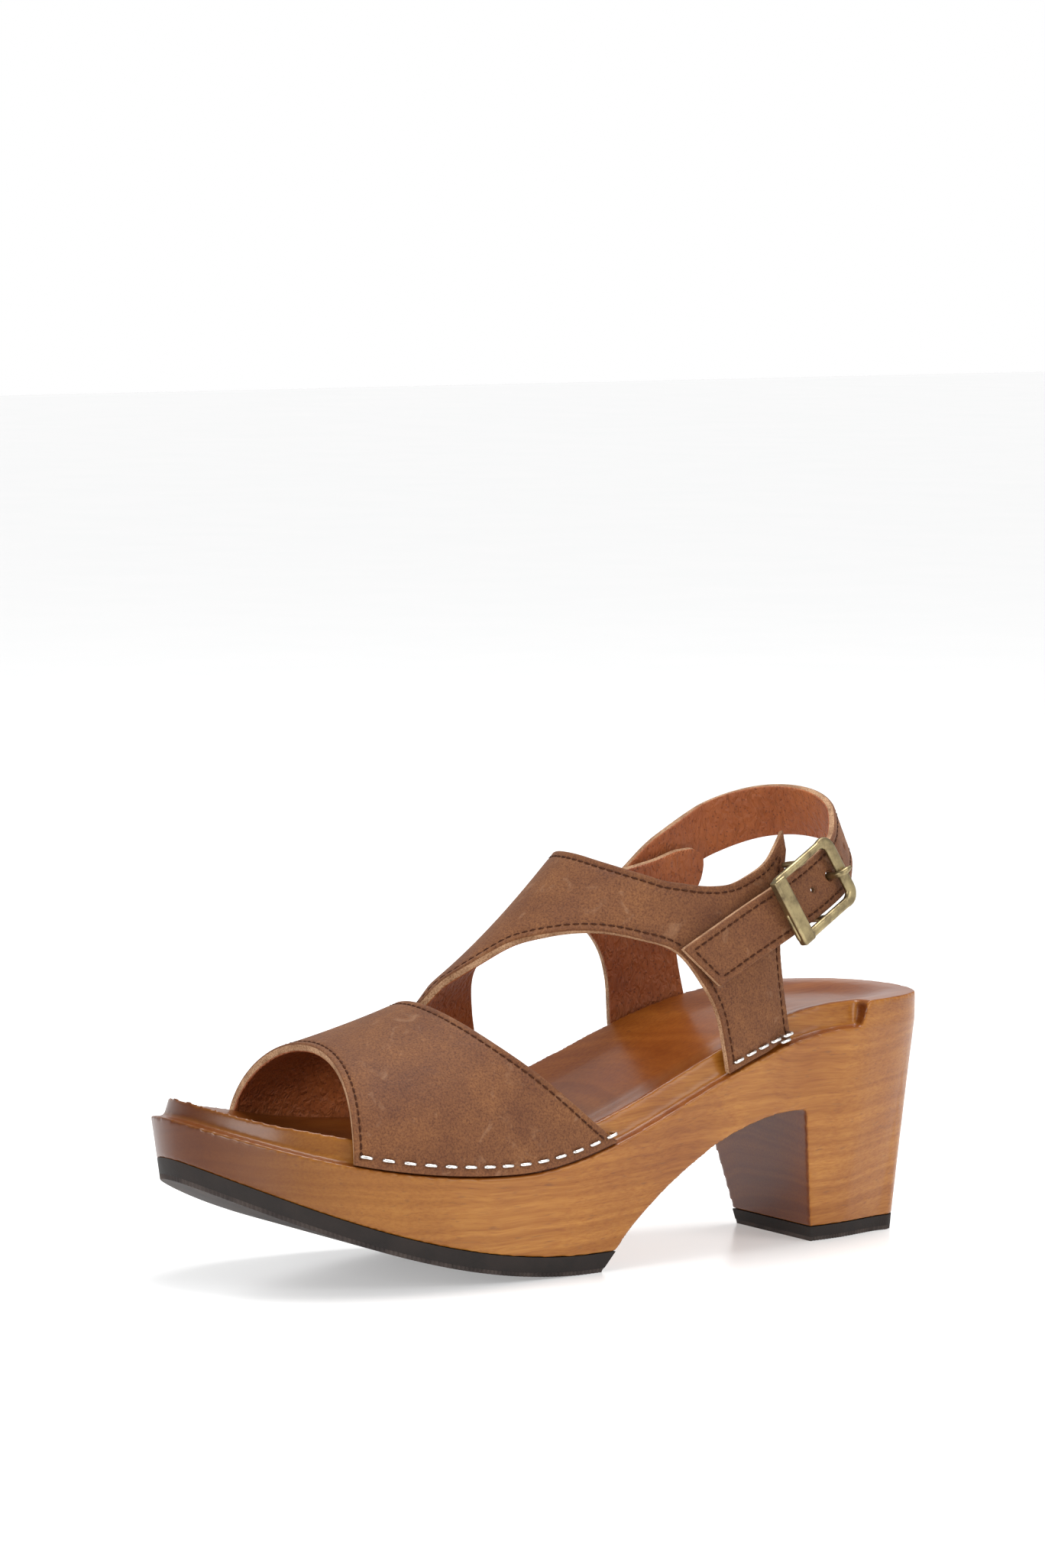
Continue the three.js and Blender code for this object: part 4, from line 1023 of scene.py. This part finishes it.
carved_sole()
tread_top = rocker_line(OUTSOLE_THICKNESS - OUTSOLE_FIT, ARCH_CURVE[0][0])
tread_middle = rocker_line(TREAD_STRIP, mix(TREAD_END, ARCH_CURVE[0][0], TREAD_STRIP / OUTSOLE_THICKNESS))
belongs(rubber_part("front_outsole_band", tread_middle, tread_top, RUBBER), "black_rubber", "front_outsole")
belongs(rubber_part("front_outsole_tread", rocker_line(0, TREAD_END), tread_middle, TREAD_RUBBER, TOOTH),
        "black_rubber")
lift_foot = [(BREAST_FOOT, 0), (BEHIND_HEEL, 0)]
lift_middle = [(breast_at(TREAD_STRIP), TREAD_STRIP), (BEHIND_HEEL, TREAD_STRIP)]
lift_top = [(breast_at(LIFT_TOP), LIFT_TOP), (BEHIND_HEEL, LIFT_TOP)]
belongs(rubber_part("heel_top_lift_band", lift_middle, lift_top, RUBBER), "black_rubber", "heel_top_lift")
belongs(rubber_part("heel_top_lift_tread", lift_foot, lift_middle, TREAD_RUBBER, TOOTH), "black_rubber")


# ---- Staples --------------------------------------------------------------------------------------

def on_side(side, y, height):
    return form_point(y, angle_at(side, y, ledge(y) + height))


def staple_frame(side, y, height):
    normal = form_normal(y, angle_at(side, y, ledge(y) + height))
    along = (on_side(side, y + 1, height) - on_side(side, y - 1, height)).normalized()
    turned = Matrix((along, normal.cross(along).normalized(), normal)).transposed().to_4x4()
    return Matrix.Translation(on_side(side, y, height)) @ turned


def staple_row(front, rear, pitch):
    first, last = front + STAPLE_MARGIN, rear - STAPLE_MARGIN
    count = math.floor((last - first) / pitch + 0.5)
    return [(mix(first, last, i / count), STAPLE_HEIGHT) for i in range(count + 1)]


def doubled_row(front, rear):
    row = staple_row(front, rear, QUARTER_STAPLE_PITCH)
    return [*row, (row[-1][0] - 1, STAPLE_HEIGHT - STAPLE_DROP)]


STAPLE_ROWS = [
    (1, "vamp_outer", staple_row(VAMP_FRONT_OUTER, VAMP_REAR_LEDGE, VAMP_STAPLE_PITCH)),
    (-1, "vamp_inner", staple_row(VAMP_FRONT_INNER, VAMP_REAR_LEDGE, VAMP_STAPLE_PITCH)),
    (1, "quarter_outer", doubled_row(OUTER_FRONT_EDGE[-1][0], OUTER_REAR_EDGE[0][0])),
    (-1, "quarter_inner", doubled_row(INNER_FRONT_EDGE[0][0], INNER_REAR_EDGE[-1][0])),
]
HALF_CROWN = STAPLE_CROWN / 2 - STAPLE_WIRE / 2
HALF_WIRE = STAPLE_WIRE / 2
STAPLE_PATH = [
    (-HALF_CROWN, 0, -3), (-HALF_CROWN, 0, -0.5), (-HALF_CROWN + 0.06, 0, -0.1),
    (-HALF_CROWN + 0.25, 0, 0.16),
    (-HALF_CROWN + 0.55, 0, 0.26), (0, 0, 0.28),
]
STAPLE_PATH += [(-x, y, z) for x, y, z in STAPLE_PATH[-2::-1]]

dents = {"vamp": [], "quarter": []}
for side, row_name, row in STAPLE_ROWS:
    for number, (y, height) in enumerate(row, 1):
        at = staple_frame(side, y, height)
        wire = swept(f"staple_wire_{row_name}_{number:02d}", STAPLE_PATH, (HALF_WIRE, HALF_WIRE), [STEEL],
                     at,
                     ups=[(0, 1, 0)] * len(STAPLE_PATH), sides=10)
        belongs(wire, "bright_steel", f"staple_{row_name}_{number:02d}")
        around = [
            (y + dy, math.degrees(angle_at(side, y + dy, ledge(y + dy) + height + dz)))
            for dy in np.arange(-3, 3.1, 0.6) for dz in np.arange(-1.5, 1.6, 0.5)
        ]
        ends = [at @ Vector((x, 0, 0)) for x in (-HALF_CROWN, HALF_CROWN)]
        dents[row_name.split("_")[0]].append({"from": ends[0], "to": ends[1], "around": np.array(around)})


# ---- Upper ----------------------------------------------------------------------------------------

LINING_DEPTHS = (OUTER_LAYER + LAYER_GAP, OUTER_LAYER + LAYER_GAP + LINING_LAYER)
girth = np.arange(HEM, 180 - HEM + 0.1, 1.0)
vamp_edge = edge_of([
    ([(vamp_front(d), d) for d in girth], True),
    ([(y, 180 - HEM) for y in np.arange(vamp_front(179) + 3, vamp_rear(179) - 2, 2)], False),
    ([(vamp_rear(d), d) for d in girth[::-1]], True),
    ([(y, HEM) for y in np.arange(vamp_rear(1) - 3, vamp_front(1) + 2, -2)], False),
])
instep_edge = edge_of([
    (spline(TOP_EDGE), True),
    (spline(TAB_END), True),
    (spline(INNER_REAR_EDGE), True),
    ([(y, 180 - HEM) for y in np.arange(65, 42, -2)], False),
    (spline(INNER_FRONT_EDGE), True),
    (spline(NECK_FRONT_EDGE), False),
    (spline(OUTER_FRONT_EDGE), True),
    ([(y, HEM) for y in np.arange(39, 61, 2)], False),
    (spline(OUTER_REAR_EDGE), True),
])
for part, edge, place, marks in (
    ("vamp", vamp_edge, on_form, dents["vamp"]),
    ("instep_quarter", instep_edge, instep_place, dents["quarter"]),
):
    belongs(leather_sheet(f"{part}_hide", edge, place, (0, OUTER_LAYER), [NUBUCK, CUT_EDGE], dents=marks),
            "brown_nubuck", f"{part}_outer")
    belongs(leather_sheet(f"{part}_pigskin", edge, place, LINING_DEPTHS, [LINING, CUT_EDGE],
                          rounded="inner"),
            "tan_lining", f"{part}_lining")
    belongs(stitch(f"{part}_stitches", seam_runs(edge, place), place, THREAD), "brown_nubuck")


# ---- Ankle strap ----------------------------------------------------------------------------------

def hole(distance, radius, steps=20):
    turns = [2 * math.pi * i / steps for i in range(steps)]
    return [(distance + radius * math.cos(t), radius * math.sin(t)) for t in turns]


free_end = [(-STRAP_SKEW * (v + HALF_STRAP) / (2 * HALF_STRAP), v)
            for v in np.arange(HALF_STRAP, -HALF_STRAP - 0.1, -1)]
strap_edge = edge_of([
    ([(d, -HALF_STRAP) for d in np.arange(1, STRAP_LENGTH, 2)], True),
    ([(STRAP_LENGTH, v) for v in np.arange(-HALF_STRAP, HALF_STRAP + 0.1, 1)], True),
    ([(d, HALF_STRAP) for d in np.arange(STRAP_LENGTH - 1, -STRAP_SKEW + 1, -2)], True),
    (free_end, True),
])
holes = [
    hole(BUCKLE_AT + PRONG_HOLE + (i - 1) * HOLE_PITCH, PRONG_SLOT if i == 1 else STRAP_HOLE)
    for i in range(HOLE_COUNT)
]
strap_outer = 2 * STRAP_FACE - STRAP_LINING - LAYER_GAP
belongs(leather_sheet("ankle_strap_hide", strap_edge, strap_place, (0, strap_outer), [NUBUCK, CUT_EDGE],
                      holes),
        "brown_nubuck", "ankle_strap_outer")
belongs(leather_sheet("ankle_strap_pigskin", strap_edge, strap_place,
                      (strap_outer + LAYER_GAP, 2 * STRAP_FACE),
                      [LINING, CUT_EDGE], holes, rounded="inner"), "tan_lining", "ankle_strap_lining")
belongs(stitch("ankle_strap_stitches", seam_runs(strap_edge, strap_place), strap_place, THREAD),
        "brown_nubuck")


# ---- Buckle ---------------------------------------------------------------------------------------

BAR_Z = -(STRAP_FACE + 0.3 + TAB_THICKNESS + 0.3 + BAR_RADIUS)
FRAME_Z = (FRAME_LOW + FRAME_HIGH) / 2


def frame_loop(low_x, high_x, low_y, high_y, front_corner, rear_corner):
    """The buckle's rounded rectangle as points, walked anticlockwise from above."""
    corners = [
        (high_x - rear_corner, high_y - rear_corner, rear_corner, 0),
        (low_x + front_corner, high_y - front_corner, front_corner, 90),
        (low_x + front_corner, low_y + front_corner, front_corner, 180),
        (high_x - rear_corner, low_y + rear_corner, rear_corner, 270),
    ]
    loop = []
    for x, y, radius, start in corners:
        for turn in range(start, start + 91, 15):
            angle = math.radians(turn)
            loop.append((x + radius * math.cos(angle), y + radius * math.sin(angle), FRAME_Z))
    return evenly(loop, 0.6, closed=True)


def rounded_block(name, corner_a, corner_b, rounding, place, material):
    """A block in the buckle's frame with its edges rounded."""
    (x0, y0, z0), (x1, y1, z1) = corner_a, corner_b
    vertices = [place @ Vector((x, y, z)) for z in (z0, z1) for x,
                y in ((x0, y0), (x1, y0), (x1, y1), (x0, y1))]
    faces = [(3, 2, 1, 0), (4, 5, 6, 7), (0, 1, 5, 4), (1, 2, 6, 5), (2, 3, 7, 6), (3, 0, 4, 7)]
    block = add_piece(name, vertices, faces, [material])
    bevel = block.modifiers.new("rounding", "BEVEL")
    bevel.width = rounding * MM
    bevel.segments = 4
    settle(block)
    block.data.polygons.foreach_set("use_smooth", [True] * len(block.data.polygons))
    return block


TURNED = BUCKLE @ Matrix.Rotation(FRAME_TURN, 4, "Z")
loop = frame_loop(FRAME_FRONT + 1.2, FRAME_REAR - 1.9, LOWER_RAIL, UPPER_RAIL, 1.5, 3.2)
sizes = []
for x, y, _ in loop:
    rail = 1.15 if y > 0 else 1.5
    sizes.append((mix(rail, 1.95, smoothstep(x, FRAME_REAR - 6.5, FRAME_REAR - 3)), 1.05))
belongs(swept("buckle_cast_frame", loop, sizes, [BRASS], TURNED, sides=16, closed=True),
        "antique_brass", "buckle_frame", body="buckle")
belongs(rounded_block("buckle_keeper_plate", (FRAME_FRONT, LOWER_RAIL - 1.3, FRAME_LOW),
                      (FRAME_FRONT + KEEPER_PLATE, UPPER_RAIL + 0.7, FRAME_HIGH + 1.2), 0.8, TURNED, BRASS),
        "antique_brass", body="buckle")
for side_name, rail_y in (("upper", UPPER_RAIL - 0.9), ("lower", LOWER_RAIL + 0.2)):
    ear = [(0, rail_y, z) for z in (FRAME_Z, 1.2, -1.5, BAR_Z, BAR_Z - 0.9, BAR_Z - 1.2)]
    belongs(swept(f"buckle_ear_{side_name}", ear, [(0.7, w) for w in (2.2, 1.5, 1.3, 1.3, 1.1, 0.5)],
                  [BRASS],
                  BUCKLE, ups=[(1, 0, 0)] * len(ear)), "antique_brass", body="buckle")
pin = [(0, y, BAR_Z) for y in np.arange(-9.4, 9.8, 2)]
belongs(swept("buckle_pin", pin, (BAR_RADIUS, BAR_RADIUS), [BRASS], BUCKLE), "antique_brass",
        "buckle_pivot_bar",
        body="buckle")

rest_z = FRAME_HIGH + PRONG_REST
route = evenly(centripetal([
    (EYE_RADIUS, 0, BAR_Z + 0.4), (PRONG_HOLE - 2.2, 0, BAR_Z + 0.8),
    (PRONG_HOLE - 0.4, 0, -STRAP_FACE - 0.4),
    (PRONG_HOLE + 0.3, 0, STRAP_FACE), (PRONG_HOLE + 0.9, 0, rest_z - 0.6), (PRONG_HOLE + 2.2, 0, rest_z),
    (FRAME_REAR + 0.3, 0, rest_z),
], closed=False), 0.5)
taper = [(PRONG_RADIUS * (1 - 0.45 * smoothstep(i, len(route) - 5, len(route) - 1)),) * 2
         for i in range(len(route))]
belongs(swept("prong_pin", route, taper, [BRASS], BUCKLE, ups=[(0, 1, 0)] * len(route)), "antique_brass",
        "buckle_prong", body="prong")
turns = [math.radians(20 * i) for i in range(18)]
eye = [(EYE_RADIUS * math.cos(t), 0, BAR_Z + EYE_RADIUS * math.sin(t)) for t in turns]
belongs(swept("prong_eye", eye, (1.5, 0.4), [BRASS], BUCKLE,
              ups=[(math.cos(t), 0, math.sin(t)) for t in turns],
              closed=True), "antique_brass", body="prong")

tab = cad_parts["buckle_tab"]
tab.data.materials.clear()
tab.data.materials.append(NUBUCK)


# ---- Studio ---------------------------------------------------------------------------------------

floor_mesh = bpy.data.meshes.new("studio_floor")
reach = 6.0
floor_mesh.from_pydata([(-reach, -reach, 0), (reach, -reach, 0), (reach, reach, 0), (-reach, reach, 0)],
                       [], [(0, 1, 2, 3)])
floor_mesh.materials.append(studio_floor())
floor = bpy.data.objects.new("studio_floor", floor_mesh)
bpy.context.scene.collection.objects.link(floor)

world = bpy.data.worlds.new("white studio")
world.use_nodes = True
sky = world.node_tree
height = add_node(sky, "SeparateXYZ",
                  {"Vector": add_node(sky, "TexCoord").outputs["Generated"]}).outputs["Z"]
walls = add_node(sky, "MapRange",
                 {"Value": height, "From Min": 0.2, "From Max": 0.42, "To Min": 1.0, "To Max": 0.4})
sky.links.new(walls.outputs[0], sky.nodes["Background"].inputs["Strength"])
sky.nodes["Background"].inputs["Color"].default_value = (1, 1, 1, 1)
bpy.context.scene.world = world
bpy.context.scene.view_settings.view_transform = "Standard"


def add_softbox(name, place, aim, size, power):
    light = bpy.data.lights.new(name, "AREA")
    light.shape = "SQUARE"
    light.size = size
    light.energy = power
    lamp = bpy.data.objects.new(name, light)
    lamp.location = place
    lamp.rotation_euler = (Vector(aim) - Vector(place)).to_track_quat("-Z", "Y").to_euler()
    bpy.context.scene.collection.objects.link(lamp)


add_softbox("softbox_above", (-0.1, 0.3, 1.5), (0, 0, 0.05), 0.9, 21)
add_softbox("softbox_side", (1.3, 0.6, 0.8), (0, 0, 0.06), 0.8, 8)
add_softbox("softbox_low", (0.25, -1.8, 0.4), (0, 0, 0.06), 0.5, 4)
add_softbox("softbox_front", (0.6, -1.6, 0.6), (0, 0, 0.06), 0.7, 11)

CAMERA_PLACE = (1657.32, -1052.17, 331.64)
CAMERA_YAW = math.radians(147.912)
CAMERA_PITCH = math.radians(-5.543)
look = Vector((
    math.cos(CAMERA_YAW) * math.cos(CAMERA_PITCH),
    math.sin(CAMERA_YAW) * math.cos(CAMERA_PITCH),
    math.sin(CAMERA_PITCH),
))
camera_data = bpy.data.cameras.new("camera")
camera_data.lens = 152.84
camera_data.sensor_width = 36
camera_data.clip_end = 50
camera = bpy.data.objects.new("camera", camera_data)
camera.location = to_frame(CAMERA_PLACE)
camera.rotation_euler = look.to_track_quat("-Z", "Y").to_euler()
bpy.context.scene.collection.objects.link(camera)
bpy.context.scene.camera = camera
